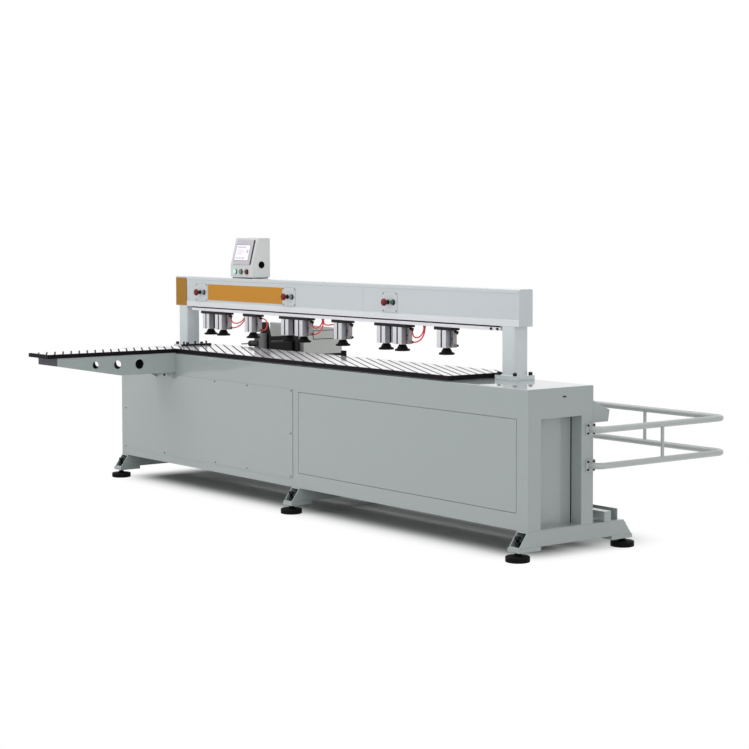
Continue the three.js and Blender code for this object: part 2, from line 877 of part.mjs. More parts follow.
/** The long rear run of the guard rail with its upright struts. */
function buildRearGuard() {
  const from = leftEnd + railJointInset + seatGap;
  const to = rightEnd - railJointInset - seatGap;
  const solids = [railHigh, railLow].map((height) => bar(
    railTubeRadius,
    [from, guardRailRear, height],
    [to, guardRailRear, height],
    tubeSides,
  ));
  const first = leftEnd + railStrutInset;
  const run = cabinetLength - railStrutInset * 2;
  const spans = 3;
  for (let index = 0; index <= spans; index += 1) {
    const x = first + (run * index) / spans;
    solids.push(bar(railStrutRadius, [x, guardRailRear, railLow], [x, guardRailRear, railHigh], tubeSides));
  }
  addPiece('guard_rail_rear', join(solids), beamGrey);
}

/** A slab whose top carries diagonal wear strips inside a low border. */
function stripedSlab(low, high) {
  const [x0, y0] = low;
  const [x1, y1] = high;
  const base = block([x0, y0, slabBottom], [x1, y1, tableTop - stripRise]);
  const field = block(
    [x0 + stripBorder, y0 + stripBorder, tableTop - stripRise * 2],
    [x1 - stripBorder, y1 - stripBorder, tableTop],
  );
  const across = new THREE.Vector2(Math.sin(stripAngle), Math.cos(stripAngle));
  const reach = cabinetLength;
  const corners = [[x0, y0], [x0, y1], [x1, y0], [x1, y1]];
  const centres = corners.map((corner) => across.dot(new THREE.Vector2(...corner)));
  const first = Math.ceil(Math.min(...centres) / stripPitch);
  const last = Math.floor(Math.max(...centres) / stripPitch);
  const grooves = [];
  for (let index = first; index <= last; index += 1) {
    const geometry = new THREE.BoxGeometry(reach * 2, stripGap, stripRise * 2);
    geometry.rotateZ(-stripAngle);
    const middle = across.clone().multiplyScalar(index * stripPitch);
    geometry.translate(middle.x, middle.y, tableTop);
    grooves.push(solidOf(geometry));
  }
  return join(base, cut(field, grooves));
}

/** Main slab with its rear stop, and the wing slab that makes the table an L. */
function buildTable() {
  const main = stripedSlab([tableLeft, 0], [tableRight, tableRear]);
  const stopMiddle = tableRight - rearStopInset;
  const stop = block(
    [stopMiddle - rearStopLength / 2, tableRear - rearStopDepth, tableTop - slabThickness / 2],
    [stopMiddle + rearStopLength / 2, tableRear, tableTop + rearStopHeight],
  );
  addPiece('table_slab', join(main, stop), slabWhite);
  addPiece('wing_slab', stripedSlab([tableLeft, -wingReach], [wingRight, -seatGap]), slabWhite);
}

/** The tapered box bracket under the wing, pierced by three holes and stiffened by two gussets. */
function buildWingBracket() {
  const top = slabBottom - seatGap;
  const nose = -(wingReach - bracketNoseInset);
  const low = bracketBottom;
  const back = -seatGap;
  const outer = outlineShape([
    [nose, top], [nose, slabBottom - bracketNoseHeight], [-bracketLevelLength, low], [back, low], [back, top],
  ]);
  const slope = (bracketRootHeight - bracketNoseHeight) / (-bracketLevelLength - nose);
  const innerNose = nose + plate;
  const inner = outlineShape([
    [innerNose, top + overrun],
    [innerNose, slabBottom - bracketNoseHeight - slope * plate + plate],
    [-bracketLevelLength, low + plate],
    [back - plate, low + plate],
    [back - plate, top + overrun],
  ]);
  const from = tableLeft + bracketSideInset;
  const to = wingRight - bracketSideInset;
  const shell = cut(alongX(outer, from, to), alongX(inner, from + plate, to - plate));
  const holes = [0, 1, 2].map((index) => {
    const y = -bracketFirstHole - bracketHolePitch * index;
    const z = slabBottom - bracketHoleDrop + bracketHoleStep * index;
    const radius = bracketHoleRadius - bracketHoleStep * index;
    return bar(radius, [from - overrun, y, z], [to + overrun, y, z], turnedSides);
  });
  const gussetBack = -thinSheet - seatGap * 2;
  const gussetShape = outlineShape([
    [gussetBack - gussetLength, low + seatGap],
    [gussetBack - gussetLength, low],
    [gussetBack, low - gussetHeight],
    [gussetBack, low + seatGap],
  ]);
  const gussetPlaces = [from + gussetInset, to - gussetInset - plate];
  const gussets = gussetPlaces.map((x) => alongX(gussetShape, x, x + plate));
  addPiece('wing_bracket', cut(join(shell, gussets), holes), machineGrey);
}

/** The black stop bar with its three pegs. */
function buildStopBar() {
  const middle = tableLeft + stopBarInset;
  const foot = tableTop + seatGap;
  const top = foot + stopBarHeight;
  const strip = block(
    [middle - stopBarWidth / 2, stopBarSetback, foot],
    [middle + stopBarWidth / 2, stopBarSetback + stopBarLength, top],
  );
  const pegs = stopPegShares.map((share) => {
    const y = stopBarSetback + stopBarLength * share;
    return bar(stopPegRadius, [middle, y, top - seatGap], [middle, y, top + stopPegHeight]);
  });
  addPiece('stop_bar', join(strip, pegs), blackPlate);
}

/** Outline of the beam: rounded top edges and a shallow face between two lips. */
function beamOutline() {
  const back = beamFront + beamDepth;
  const face = beamFront + beamFaceDepth;
  const shape = new THREE.Shape();
  shape.moveTo(beamFront, beamBottom);
  shape.lineTo(back, beamBottom);
  shape.lineTo(back, beamTop - beamRound);
  shape.quadraticCurveTo(back, beamTop, back - beamRound, beamTop);
  shape.lineTo(beamFront + beamRound, beamTop);
  shape.quadraticCurveTo(beamFront, beamTop, beamFront, beamTop - beamRound);
  shape.lineTo(beamFront, beamTop - beamFaceHead);
  shape.lineTo(face, beamTop - beamFaceHead - beamFaceDepth);
  shape.lineTo(face, beamBottom + beamFaceFoot + beamFaceDepth);
  shape.lineTo(beamFront, beamBottom + beamFaceFoot);
  return new THREE.Shape(shape.extractPoints(2).shape);
}

/** Middle of a button station along X, counted from the left. */
function stationMiddle(index) {
  return beamLeft + stationFirstInset + stationPitch * index;
}

/** The hollow beam with its face seam and the holes for the button stems. */
function buildBeam() {
  const outer = alongX(beamOutline(), beamLeft, beamRight);
  const hollow = block(
    [beamLeft + beamWall, beamFront + beamWall, beamBottom + beamWall],
    [beamRight - beamWall, beamFront + beamDepth - beamWall, beamTop - beamWall],
  );
  const seamX = beamRight - beamSeamInset;
  const seam = block(
    [seamX - beamSeamWidth / 2, beamFront, beamBottom + beamFaceFoot],
    [seamX + beamSeamWidth / 2, beamFront + beamFaceDepth * 2, beamTop - beamFaceHead],
  );
  const holes = [];
  for (let index = 0; index < stationCount; index += 1) {
    for (const offset of [stationStopOffset, stationStartOffset]) {
      const x = stationMiddle(index) + offset;
      const z = beamBottom + stationHeight;
      holes.push(bar(
        buttonStemRadius + buttonStemClearance,
        [x, beamFront - overrun, z],
        [x, beamFront + beamWall + overrun, z],
        turnedSides,
      ));
    }
  }
  addPiece('press_beam', cut(outer, hollow, seam, holes), beamGrey);
}

/** One post: square tube on a bolted flange. */
function buildPost(name, x) {
  const foot = cabinetTop + seatGap;
  const half = postSide / 2;
  const top = beamBottom - seatGap;
  const section = chamferedShape([x - half, beamMiddle - half], [x + half, beamMiddle + half], postWall);
  const tube = alongZ(section, foot, top);
  const bore = block(
    [x - half + postWall, beamMiddle - half + postWall, foot + flangeThickness],
    [x + half - postWall, beamMiddle + half - postWall, top + overrun],
  );
  const flange = alongZ(chamferedShape(
    [x - flangeLength / 2, beamMiddle - flangeDepth / 2],
    [x + flangeLength / 2, beamMiddle + flangeDepth / 2],
    postWall,
  ), foot, foot + flangeThickness);
  const reachX = flangeLength / 2 - flangeBoltInset;
  const reachY = flangeDepth / 2 - flangeBoltInset;
  const bolts = [[-1, -1], [-1, 1], [1, -1], [1, 1]].map(([sideways, back]) => screwHead(
    boltHeadRadius,
    boltHeadHeight,
    [x + sideways * reachX, beamMiddle + back * reachY, foot + flangeThickness - seatGap],
    Z_AXIS,
  ));
  addPiece(name, join(cut(tube, bore), flange, bolts), beamGrey);
}

/** Where each presser unit stands along X. */
function unitMiddle(unit) {
  return presserRunRight - presserRunLength * (1 - presserPlaceShares[unit]);
}

/** Where each cylinder of a unit stands along X. */
function cylinderMiddles(unit) {
  const middle = unitMiddle(unit);
  return cylindersPerUnit[unit] === 1 ? [middle] : [middle - presserPitch / 2, middle + presserPitch / 2];
}

/** Right edge of the outermost cylinder's valve fittings in a unit. */
function elbowEnd(unit) {
  return cylinderMiddles(unit).at(-1) + cylinderSide / 2 + valveBlockWidth + valveElbowReach;
}

/** Where the upper fitting's downward outlet stands along X. */
function outletMiddle(unit) {
  return elbowEnd(unit) - valveElbowRadius;
}

/** Heights of the upper and lower valve fitting. */
function elbowHeights() {
  const upper = barBottom - valveBlockTopGap - valveElbowInset;
  return [upper, upper - valveBlockHeight + valveElbowInset * 2];
}

/** The hose sets: which unit each serves, its port under the rail and its upper hose's pull. */
function hoseSets() {
  const sets = [
    { unit: 0, offset: hoseFirstPortOffset, upperPull: hoseFirstUpperPull },
    { unit: 2, offset: hosePortOffset, upperPull: hoseMiddleUpperPull },
    { unit: 4, offset: hosePortOffset, upperPull: hoseLastUpperPull },
  ];
  return sets.map((set) => ({ ...set, port: cylinderMiddles(set.unit).at(-1) + set.offset }));
}

/** The flat rail that hangs on a spine under the beam, with its hose ports. */
function buildPresserRail() {
  const to = postRight - postSide / 2 - presserRailRightGap;
  const from = postLeft + postSide / 2 + presserRailLeftGap;
  const half = presserRailDepth / 2;
  const strip = block(
    [from, presserLine - half, presserRailBottom],
    [to, presserLine + half, presserRailTop],
  );
  const spine = block(
    [from, presserLine - presserRailSpine / 2, presserRailTop - seatGap],
    [to, presserLine + presserRailSpine / 2, beamBottom - seatGap],
  );
  const ports = hoseSets().map(({ port }) => bar(
    hosePortRadius,
    [port, presserLine, presserRailBottom - hosePortHeight],
    [port, presserLine, presserRailBottom + seatGap],
    turnedSides,
  ));
  addPiece('presser_rail', join(strip, spine, ports), beamGrey);
}

/** Section of a square cylinder with one lipped groove in the middle of each face. */
function cylinderSection(x) {
  const half = cylinderSide / 2;
  const slot = cylinderSlotWidth / 2;
  const mouth = slot - cylinderSlotLip;
  const face = [
    [-half + cylinderCorner, half],
    [-mouth, half],
    [-mouth, half - cylinderSlotLipDepth],
    [-slot, half - cylinderSlotLipDepth],
    [-slot, half - cylinderSlotDepth],
    [slot, half - cylinderSlotDepth],
    [slot, half - cylinderSlotLipDepth],
    [mouth, half - cylinderSlotLipDepth],
    [mouth, half],
    [half - cylinderCorner, half],
  ];
  const points = [];
  for (let turn = 0; turn < 4; turn += 1) {
    const angle = (-Math.PI * turn) / 2;
    for (const point of face) {
      const place = new THREE.Vector2(...point).rotateAround(new THREE.Vector2(), angle);
      points.push([x + place.x, presserLine + place.y]);
    }
  }
  return outlineShape(points.reverse());
}

/** The valve block on a unit's last cylinder with its two fittings. */
function valveBlock(unit) {
  const [upper, lower] = elbowHeights();
  const side = cylinderMiddles(unit).at(-1) + cylinderSide / 2;
  const y = presserLine + valveBlockSetback;
  const top = barBottom - valveBlockTopGap;
  const body = block(
    [side - seatGap, y - valveBlockDepth / 2, top - valveBlockHeight],
    [side + valveBlockWidth, y + valveBlockDepth / 2, top],
  );
  const fittings = [upper, lower].map((z) => bar(
    valveElbowRadius,
    [side + valveBlockWidth - seatGap, y, z],
    [elbowEnd(unit), y, z],
  ));
  if (unit === loopUnit) return join(body, fittings);
  const outlet = bar(
    valveOutletRadius,
    [outletMiddle(unit), y, upper - valveOutletDrop],
    [outletMiddle(unit), y, upper],
  );
  return join(body, fittings, outlet);
}

/** One presser unit: mounting bar, one or two grooved cylinders and the valve block. */
function buildPresserUnit(unit) {
  const middles = cylinderMiddles(unit);
  const half = presserBarDepth / 2;
  const mount = block(
    [middles[0] - presserBarMargin, presserLine - half, barBottom],
    [middles.at(-1) + presserBarMargin, presserLine + half, barTop],
  );
  const bodies = middles.map((x) => cut(
    alongZ(cylinderSection(x), cylinderBottom, barBottom + seatGap),
    bar(
      presserRodRadius + presserRodClearance,
      [x, presserLine, cylinderBottom - overrun],
      [x, presserLine, barBottom - overrun],
      fineSides,
    ),
  ));
  addPiece(`presser_unit_${unit + 1}`, join(mount, bodies, valveBlock(unit)), aluminium);
}

/** One presser rod with its flared rubber foot. */
function buildPresserFoot(number, x) {
  const top = cylinderBottom - seatGap;
  const height = footNeckHeight + footFlareHeight + footRimHeight;
  const rodTop = height + presserStroke + presserRodHold;
  const outline = [
    [0, 0],
    [footRimRadius - footRimEdge, 0],
    [footRimRadius, footRimEdge],
    [footRimRadius, footRimHeight - footRimEdge],
    [footFlareRadius, footRimHeight + footRimEdge],
    [footNeckRadius, footRimHeight + footFlareHeight],
    [footNeckRadius, height],
    [presserRodRadius, height],
    [presserRodRadius, rodTop],
    [0, rodTop],
  ];
  addPiece(`presser_foot_${number}`, turned(outline, [x, presserLine, top - height], Z_AXIS), blackRubber);
}

/** All presser units and feet, counted from the left. */
function buildPressers() {
  let number = 1;
  for (let unit = 0; unit < cylindersPerUnit.length; unit += 1) {
    buildPresserUnit(unit);
    for (const x of cylinderMiddles(unit)) {
      buildPresserFoot(number, x);
      number += 1;
    }
  }
}

/** A hose in one smooth bend, pulled straight out of each end. */
function hose(start, startPull, end, endPull) {
  const from = new THREE.Vector3(...start);
  const to = new THREE.Vector3(...end);
  const path = new THREE.CubicBezierCurve3(
    from,
    from.clone().add(startPull),
    to.clone().add(endPull),
    to,
  );
  const section = roundSection(hoseRadius, hoseSides);
  return solidOf(new THREE.ExtrudeGeometry(section, { steps: hoseSteps, extrudePath: path }));
}

/** One set of hoses that meet in a collar at their port under the rail. */
function buildHoseSet({ unit, port, upperPull }) {
  const [upper, lower] = elbowHeights();
  const y = presserLine + valveBlockSetback;
  const top = presserRailBottom - hosePortHeight - seatGap;
  const foot = top - hoseCollarHeight;
  const collar = bar(hoseCollarRadius, [port, presserLine, foot], [port, presserLine, top], turnedSides);
  const portPull = down(hosePortPull);
  const pieces = [
    collar,
    hose(
      [outletMiddle(unit), y, upper - valveOutletDrop - seatGap],
      down(upperPull),
      [port, presserLine - hosePairSpread, foot + seatGap],
      down(upperPull),
    ),
    hose(
      [elbowEnd(unit) + seatGap, y, lower],
      along(hoseLowerPull),
      [port, presserLine + hosePairSpread, foot + seatGap],
      portPull,
    ),
  ];
  if (unit === feedUnit) {
    const face = cylinderMiddles(unit + 1)[0] - cylinderSide / 2 - seatGap;
    pieces.push(hose(
      [port + hoseFeedSpread, presserLine, foot + seatGap],
      portPull,
      [face, presserLine, upper],
      along(-hoseFeedPull),
    ));
  }
  addPiece(`hose_set_${unit + 1}`, join(pieces), hoseRed);
}

/** A step of a given length along X. */
function along(length) {
  return new THREE.Vector3(length, 0, 0);
}

/** A step of a given length straight down. */
function down(length) {
  return new THREE.Vector3(0, 0, -length);
}

/** The red hoses that show: three sets and one loop. */
function buildHoses() {
  for (const set of hoseSets()) buildHoseSet(set);
  const [upper, lower] = elbowHeights();
  const start = elbowEnd(loopUnit) + seatGap;
  const y = presserLine + valveBlockSetback;
  const loop = hose([start, y, upper], along(hoseLoopPull), [start, y, lower], along(hoseLoopPull));
  addPiece(`hose_loop_${loopUnit + 1}`, loop, hoseRed);
}

/** The emergency stops and start buttons at the stations along the beam. */
function buildStations() {
  const face = beamFront + beamFaceDepth;
  const forward = Y_AXIS.clone().negate();
  const z = beamBottom + stationHeight;
  const stem = buttonStemLength;
  for (let index = 0; index < stationCount; index += 1) {
    const stopOutline = [
      [0, -stem],
      [buttonStemRadius, -stem],
      [buttonStemRadius, buttonTravel + seatGap],
      [stopNeckRadius, buttonTravel + seatGap],
      [stopNeckRadius, stopNeckLength],
      [stopCapRadius - stopCapEdge / 2, stopNeckLength],
      [stopCapRadius, stopNeckLength + stopCapEdge / 2],
      [stopCapRadius, stopNeckLength + stopCapHeight - stopCapEdge],
      [stopCapRadius - stopCapEdge, stopNeckLength + stopCapHeight],
      [0, stopNeckLength + stopCapHeight + stopCapEdge / 3],
    ];
    const stopX = stationMiddle(index) + stationStopOffset;
    addPiece(`emergency_stop_${index + 1}`, turned(stopOutline, [stopX, face, z], forward), stopRed);

    const startOutline = [
      [0, -stem],
      [buttonStemRadius, -stem],
      [buttonStemRadius, buttonTravel + seatGap],
      [startCapRadius, buttonTravel + seatGap],
      [startCapRadius, startCapLength - startCapEdge],
      [startCapRadius - startCapEdge, startCapLength],
      [0, startCapLength],
    ];
    const startX = stationMiddle(index) + stationStartOffset;
    addPiece(`start_button_${index + 1}`, turned(startOutline, [startX, face, z], forward), startGreen);
  }
}

/** Side outline of the control box with a sloping screen face, drawn in by an inset. */
function boxOutline(inset, foot) {
  const front = beamFront + boxFrontInset;
  const back = front + boxDepth;
  const low = beamTop + seatGap + boxPlinthHeight;
  const high = beamTop + seatGap + boxHeight;
  const kink = beamTop + seatGap + boxKinkHeight;
  return outlineShape([
    [front + inset, low + foot], [back - inset, low + foot], [back - inset, high - inset],
    [back - boxTopDepth + inset, high - inset], [front + inset, kink - inset / 2],
  ]);
}

/** Angle of the screen face from upright. */
function screenLean() {
  return Math.atan2(boxDepth - boxTopDepth, boxHeight - boxKinkHeight);
}

/** The control box: folded sheet housing on a plinth, with a recess for the screen. */
function buildControlBox() {
  const from = beamLeft + boxLeftInset;
  const to = from + boxWidth;
  const middle = (from + to) / 2;
  const front = beamFront + boxFrontInset;
  const plinth = block(
    [from + boxPlinthInset, front + boxPlinthInset, beamTop + seatGap],
    [to - boxPlinthInset, front + boxDepth - boxPlinthInset, beamTop + seatGap + boxPlinthHeight + boxSheet],
  );
  const shell = cut(
    alongX(boxOutline(0, 0), from, to),
    alongX(boxOutline(boxSheet, boxSheet), from + boxSheet, to - boxSheet),
  );
  const lean = screenLean();
  const faceMiddle = [
    middle,
    front + (boxDepth - boxTopDepth) / 2,
    beamTop + seatGap + (boxKinkHeight + boxHeight) / 2,
  ];
  const half = [screenWidth / 2, screenHeight / 2];
  const recess = new THREE.ExtrudeGeometry(
    chamferedShape([-half[0], -half[1]], half, screenCorner),
    { depth: overrun + screenRecess, bevelEnabled: false },
  );
  recess.translate(0, 0, -screenRecess);
  recess.rotateX(Math.PI / 2 - lean);
  recess.translate(...faceMiddle);
  const buttonZ = beamTop + seatGap + boxButtonHeight;
  const holes = [-1, 0, 1].map((place) => bar(
    buttonStemRadius + buttonStemClearance,
    [middle + place * boxButtonPitch, front - overrun, buttonZ],
    [middle + place * boxButtonPitch, front + boxSheet + overrun, buttonZ],
    turnedSides,
  ));
  addPiece('control_box', cut(join(shell, plinth), solidOf(recess), holes), boxGrey);

  const finishes = { green: startGreen, grey: knobGrey, red: stopRed };
  Object.entries(finishes).forEach(([colour, finish], index) => {
    const outline = [
      [0, -buttonStemLength],
      [buttonStemRadius, -buttonStemLength],
      [buttonStemRadius, boxButtonTravel + seatGap],
      [boxButtonRadius, boxButtonTravel + seatGap],
      [boxButtonRadius, boxButtonLength - startCapEdge],
      [boxButtonRadius - startCapEdge, boxButtonLength],
      [0, boxButtonLength],
    ];
    const x = middle + (index - 1) * boxButtonPitch;
    addPiece(`box_button_${colour}`, turned(outline, [x, front, buttonZ], Y_AXIS.clone().negate()), finish);
  });
}

/** Section of a profile rail standing off a face, with drawn-in flanks. */
function railSection(middle, face) {
  const half = travelRailWidth / 2;
  const top = face + travelRailHeight;
  const foot = face + travelRailHeight / 3;
  const head = top - travelRailHeight / 3;
  const waist = face + travelRailHeight / 2;
  return outlineShape([
    [face, middle - half],
    [foot, middle - half],
    [waist, middle - half + travelRailWaist],
    [head, middle - half],
    [top, middle - half],
    [top, middle + half],
    [head, middle + half],
    [waist, middle + half - travelRailWaist],
    [foot, middle + half],
    [face, middle + half],
  ]);
}

/** Heights of the two travel rails. */
function railHeights() {
  return [railBedBottom + travelRailInset, railBedTop - travelRailInset];
}

/** The machined bed on the cabinet's rear face with two profile rails and the rack bar. */
function buildRailBed() {
  const from = leftEnd + railBedEndInset;
  const to = rightEnd - railBedEndInset;
  const bed = block(
    [from, cabinetDepth + seatGap, railBedBottom],
    [to, railBedBack, railBedTop],
  );
  const rails = railHeights().map((z) => alongX(railSection(z, railBedBack - seatGap), from, to));
  const rackMiddle = (railBedBottom + railBedTop) / 2 - rackDrop;
  const rack = block(
    [from, railBedBack - seatGap, rackMiddle - rackHeight / 2],
    [to, railBedBack + rackDepth, rackMiddle + rackHeight / 2],
  );
  addPiece('rail_bed', join(bed, rails, rack), brightSteel);
}

/** The carriage: saddle with four bearing blocks, two cheeks that pass under the chip guard, and the bed. */
function buildCarriage() {
  const saddleBack = carriageFront + carriagePlate;
  const saddleTop = railBedTop + carriageTopGap;
  const saddle = block(
    [carriageLeft, carriageFront - seatGap, railBedBottom - carriageTopGap],
    [carriageRight, saddleBack, saddleTop],
  );
  const channelBack = railBedBack + bearingLift + bearingChannelDepth;
  const blocks = [];
  for (const z of railHeights()) {
    for (const x of [carriageLeft, carriageRight - bearingLength]) {
      const body = block(
        [x, railBedBack + bearingLift, z - bearingHeight / 2],
        [x + bearingLength, carriageFront, z + bearingHeight / 2],
      );
      const channel = block(
        [x - overrun, railBedBack, z - travelRailWidth / 2 - seatGap],
        [x + bearingLength + overrun, channelBack, z + travelRailWidth / 2 + seatGap],
      );
      blocks.push(cut(body, channel));
    }
  }
  const cheekShape = outlineShape([
    [saddleBack - seatGap, railBedBottom],
    [carriageNose, railBedBottom],
    [carriageNose + carriageKneeReach, carriageTop - carriageKneeHeight],
    [carriageBack, carriageTop - carriageBackHeight],
    [carriageBack, carriageTop + seatGap],
    [carriageNose, carriageTop + seatGap],
    [carriageNose, saddleTop - carriageThroat],
    [saddleBack - seatGap, saddleTop - carriageThroat],
  ]);
  const cheekPlaces = [carriageLeft, carriageRight - carriageCheek];
  const cheeks = cheekPlaces.map((x) => alongX(cheekShape, x, x + carriageCheek));
  const bed = block(
    [carriageLeft, carriageNose, carriageTop],
    [carriageRight, carriageBack, carriageTop + carriageBedPlate],
  );
  const feedRailFront = carriageNose + feedRailFrontInset;
  const feedRailBack = driveBack - feedRailRearInset;
  const feedRails = [-1, 1].map((side) => {
    const x = spindleX + side * feedRailSpread;
    return block(
      [x - feedRailSide / 2, feedRailFront, carriageTop + carriageBedPlate - seatGap],
      [x + feedRailSide / 2, feedRailBack, carriageTop + carriageBedPlate + feedRailSide],
    );
  });
  addPiece('carriage', join(saddle, blocks, cheeks, bed, feedRails), blackPlate);
}

/** The folded cover over the rear of the carriage, with a blank raised frame on its side. */
function buildCarriageCover() {
  const foot = carriageTop + carriageBedPlate + seatGap;
  const outline = (inset, drop) => outlineShape([
    [carriageCoverFront + inset, foot - drop],
    [carriageBack - inset, foot - drop],
    [carriageBack - inset, foot + coverRearHeight - inset],
    [carriageCoverFront + coverFoldRound + inset, foot + coverFrontHeight - inset],
    [carriageCoverFront + inset, foot + coverFrontHeight - coverFoldRound - inset],
  ]);
  const shell = cut(
    alongX(outline(0, 0), carriageLeft, carriageRight),
    alongX(outline(coverSheet, overrun), carriageLeft + coverSheet, carriageRight - coverSheet),
  );
  const frameFront = carriageCoverFront + logoFrameSetback;
  const frameFoot = foot + logoFrameFoot;
  const frame = block(
    [carriageRight - seatGap, frameFront, frameFoot],
    [carriageRight + logoFrameDepth, frameFront + logoFrameLength, frameFoot + logoFrameHeight],
  );
  addPiece('carriage_cover', join(shell, frame), machineGrey);
}

/** The feed slide with its plate, motor, drive box and tie bar. */
function buildDriveUnit() {
  const half = feedBaseWidth / 2;
  const base = block(
    [spindleX - half, feedBaseFront, feedBaseBottom],
    [spindleX + half, feedBaseBack, feedBaseTop],
  );
  const shoes = [];
  const bedTop = carriageTop + carriageBedPlate;
  for (const side of [-1, 1]) {
    for (const y of [feedBaseFront, feedBaseBack - feedShoeLength]) {
      const x = spindleX + side * feedRailSpread;
      const shoe = block(
        [x - feedShoeWidth / 2, y, bedTop + feedShoeLift],
        [x + feedShoeWidth / 2, y + feedShoeLength, feedBaseBottom + seatGap],
      );
      const channel = block(
        [x - feedRailSide / 2 - seatGap, y - overrun, bedTop - overrun],
        [x + feedRailSide / 2 + seatGap, y + feedShoeLength + overrun, feedBaseBottom],
      );
      shoes.push(cut(shoe, channel));
    }
  }
  const width = headPlateWidth / 2;
  const neck = headPlateNeck / 2;
  const plateShape = outlineShape([
    [spindleX - width, feedBaseTop - seatGap], [spindleX + width, feedBaseTop - seatGap],
    [spindleX + width, feedBaseTop + headPlateShoulder], [spindleX + neck, feedBaseTop + headPlateHeight],
    [spindleX - neck, feedBaseTop + headPlateHeight], [spindleX - width, feedBaseTop + headPlateShoulder],
  ]);
  const upright = alongY(plateShape, headPlateFront, headPlateBack);
  const motorLow = feedBaseTop - motorFootGap;
  const motor = alongY(
    chamferedShape(
      [spindleX - motorSide / 2, motorLow],
      [spindleX + motorSide / 2, motorLow + motorSide],
      motorChamfer,
    ),
    headPlateBack - seatGap,
    headPlateBack + motorLength,
  );
  const drive = alongY(
    chamferedShape(
      [spindleX - driveBoxSide / 2, motorLow],
      [spindleX + driveBoxSide / 2, motorLow + driveBoxSide],
      driveBoxChamfer,
    ),
    headPlateBack + motorLength - seatGap,
    driveBack,
  );
  const tie = block(
    [spindleX + width - tieBarThickness, headPlateBack - seatGap, feedBaseTop + tieBarLift],
    [spindleX + width, feedBaseBack, feedBaseTop + tieBarLift + tieBarHeight],
  );
  const tieLeg = block(
    [spindleX + width - tieBarThickness, feedBaseBack - tieBarHeight, feedBaseTop - seatGap],
    [spindleX + width, feedBaseBack, feedBaseTop + tieBarLift + seatGap],
  );
  addPiece('drive_unit', join(base, shoes, upright, motor, drive, tie, tieLeg), blackPlate);
}

/** The bright spindle block, split at the top and bored for the shaft. */
function buildSpindleBlock() {
  const half = spindleBlockWidth / 2;
  const back = headPlateFront - seatGap;
  const front = spindleBlockFront;
  const low = spindleZ - spindleBlockDrop;
  const high = spindleZ + spindleBlockRise;
  const body = alongY(
    chamferedShape([spindleX - half, low], [spindleX + half, high], spindleBlockChamfer),
    front,
    back,
  );
  const bore = bar(
    shaftRadius + shaftClearance,
    [spindleX, front - overrun, spindleZ],
    [spindleX, back + overrun, spindleZ],
    fineSides,
  );
  const slot = block(
    [spindleX - spindleBlockSlot / 2, front - overrun, spindleZ],
    [spindleX + spindleBlockSlot / 2, back + overrun, spindleZ + spindleBlockDrop],
  );
  addPiece('spindle_block', cut(body, bore, slot), aluminium);
}

/** Section of the twist drill: two lands between two curved flutes. */
function drillSection() {
  const points = [];
  const count = 16;
  for (let index = 0; index < count; index += 1) {
    const angle = (2 * Math.PI * index) / count;
    const flute = Math.abs(Math.sin(angle)) ** 0.8;
    const radius = drillRadius - (drillRadius - drillCoreRadius) * flute;
    points.push([radius * Math.cos(angle), radius * Math.sin(angle)]);
  }
  return outlineShape(points);
}

/** The twist drill: its section turned steadily on its way to a pointed tip. */
function twistDrill(tip) {
  const length = drillLength + overrun;
  const settings = { depth: length, steps: drillSteps, bevelEnabled: false };
  const geometry = new THREE.ExtrudeGeometry(drillSection(), settings);
  const places = geometry.attributes.position;
  for (let index = 0; index < places.count; index += 1) {
    const along = places.getZ(index);
    const angle = (2 * Math.PI * drillTurns * along) / length;
    const point = Math.min(1, Math.max(drillCoreRadius / drillRadius / 3, along / drillTipLength));
    const place = new THREE.Vector2(places.getX(index), places.getY(index)).multiplyScalar(point);
    place.rotateAround(new THREE.Vector2(), angle);
    places.setXY(index, place.x, place.y);
  }
  geometry.rotateX(-Math.PI / 2);
  geometry.translate(spindleX, tip, spindleZ);
  return solidOf(geometry);
}

/** The drill chuck on its shaft, with the twist drill clamped in it. */
function buildDrillChuck() {
  const noseFront = spindleBlockFront - seatGap - shaftNoseLength;
  const front = noseFront - chuckLength;
  const step = chuckLength / 5;
  const shaftEnd = noseFront + shaftNoseLength + spindleBlockDepth - overrun;
  const outline = [
    [0, 0],
    [chuckFrontRadius, 0],
    [chuckRadius, chuckTaper],
    [chuckRadius, chuckTaper + step],
    [chuckRadius - chuckGroove, chuckTaper + step],
    [chuckRadius - chuckGroove, chuckTaper + step + chuckGroove * 2],
    [chuckRadius, chuckTaper + step + chuckGroove * 2],
    [chuckRadius, chuckLength],
    [shaftNoseRadius, chuckLength],
    [shaftNoseRadius, chuckLength + shaftNoseLength],
    [shaftRadius, chuckLength + shaftNoseLength],
    [shaftRadius, shaftEnd - front],
    [0, shaftEnd - front],
  ];
  const chuck = turned(outline, [spindleX, front, spindleZ], Y_AXIS, fineSides);
  addPiece('drill_chuck', join(chuck, twistDrill(front - drillLength)), brightSteel);
}

buildBaseFrame();
buildFrontPanels();
buildUndercarriage();
buildChipGuard();
buildChainTrough();
buildSideGuard('guard_rail_right', rightEnd, 1);
buildSideGuard('guard_rail_left', leftEnd, -1);
buildRearGuard();
buildTable();
buildWingBracket();
buildStopBar();
buildBeam();
buildPost('post_right', postRight);
buildPost('post_left', postLeft);
buildPresserRail();
buildPressers();
buildHoses();
buildStations();
buildControlBox();
buildRailBed();
buildCarriage();
buildCarriageCover();
buildDriveUnit();
buildSpindleBlock();
buildDrillChuck();

// The origin stands on the floor below the middle of everything
const extent = new THREE.Box3().setFromObject(machine);
const centre = extent.getCenter(new THREE.Vector3());
machine.position.set(-centre.x, -centre.y, -extent.min.z);

export default machine;
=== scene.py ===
"""Looks of the horizontal hole drilling machine: finishes, modelled pieces, light and camera."""
import logging
import math
from dataclasses import dataclass, replace
from enum import Enum
from typing import Callable, Iterable, Sequence

import bpy
from mathutils import Matrix, Vector


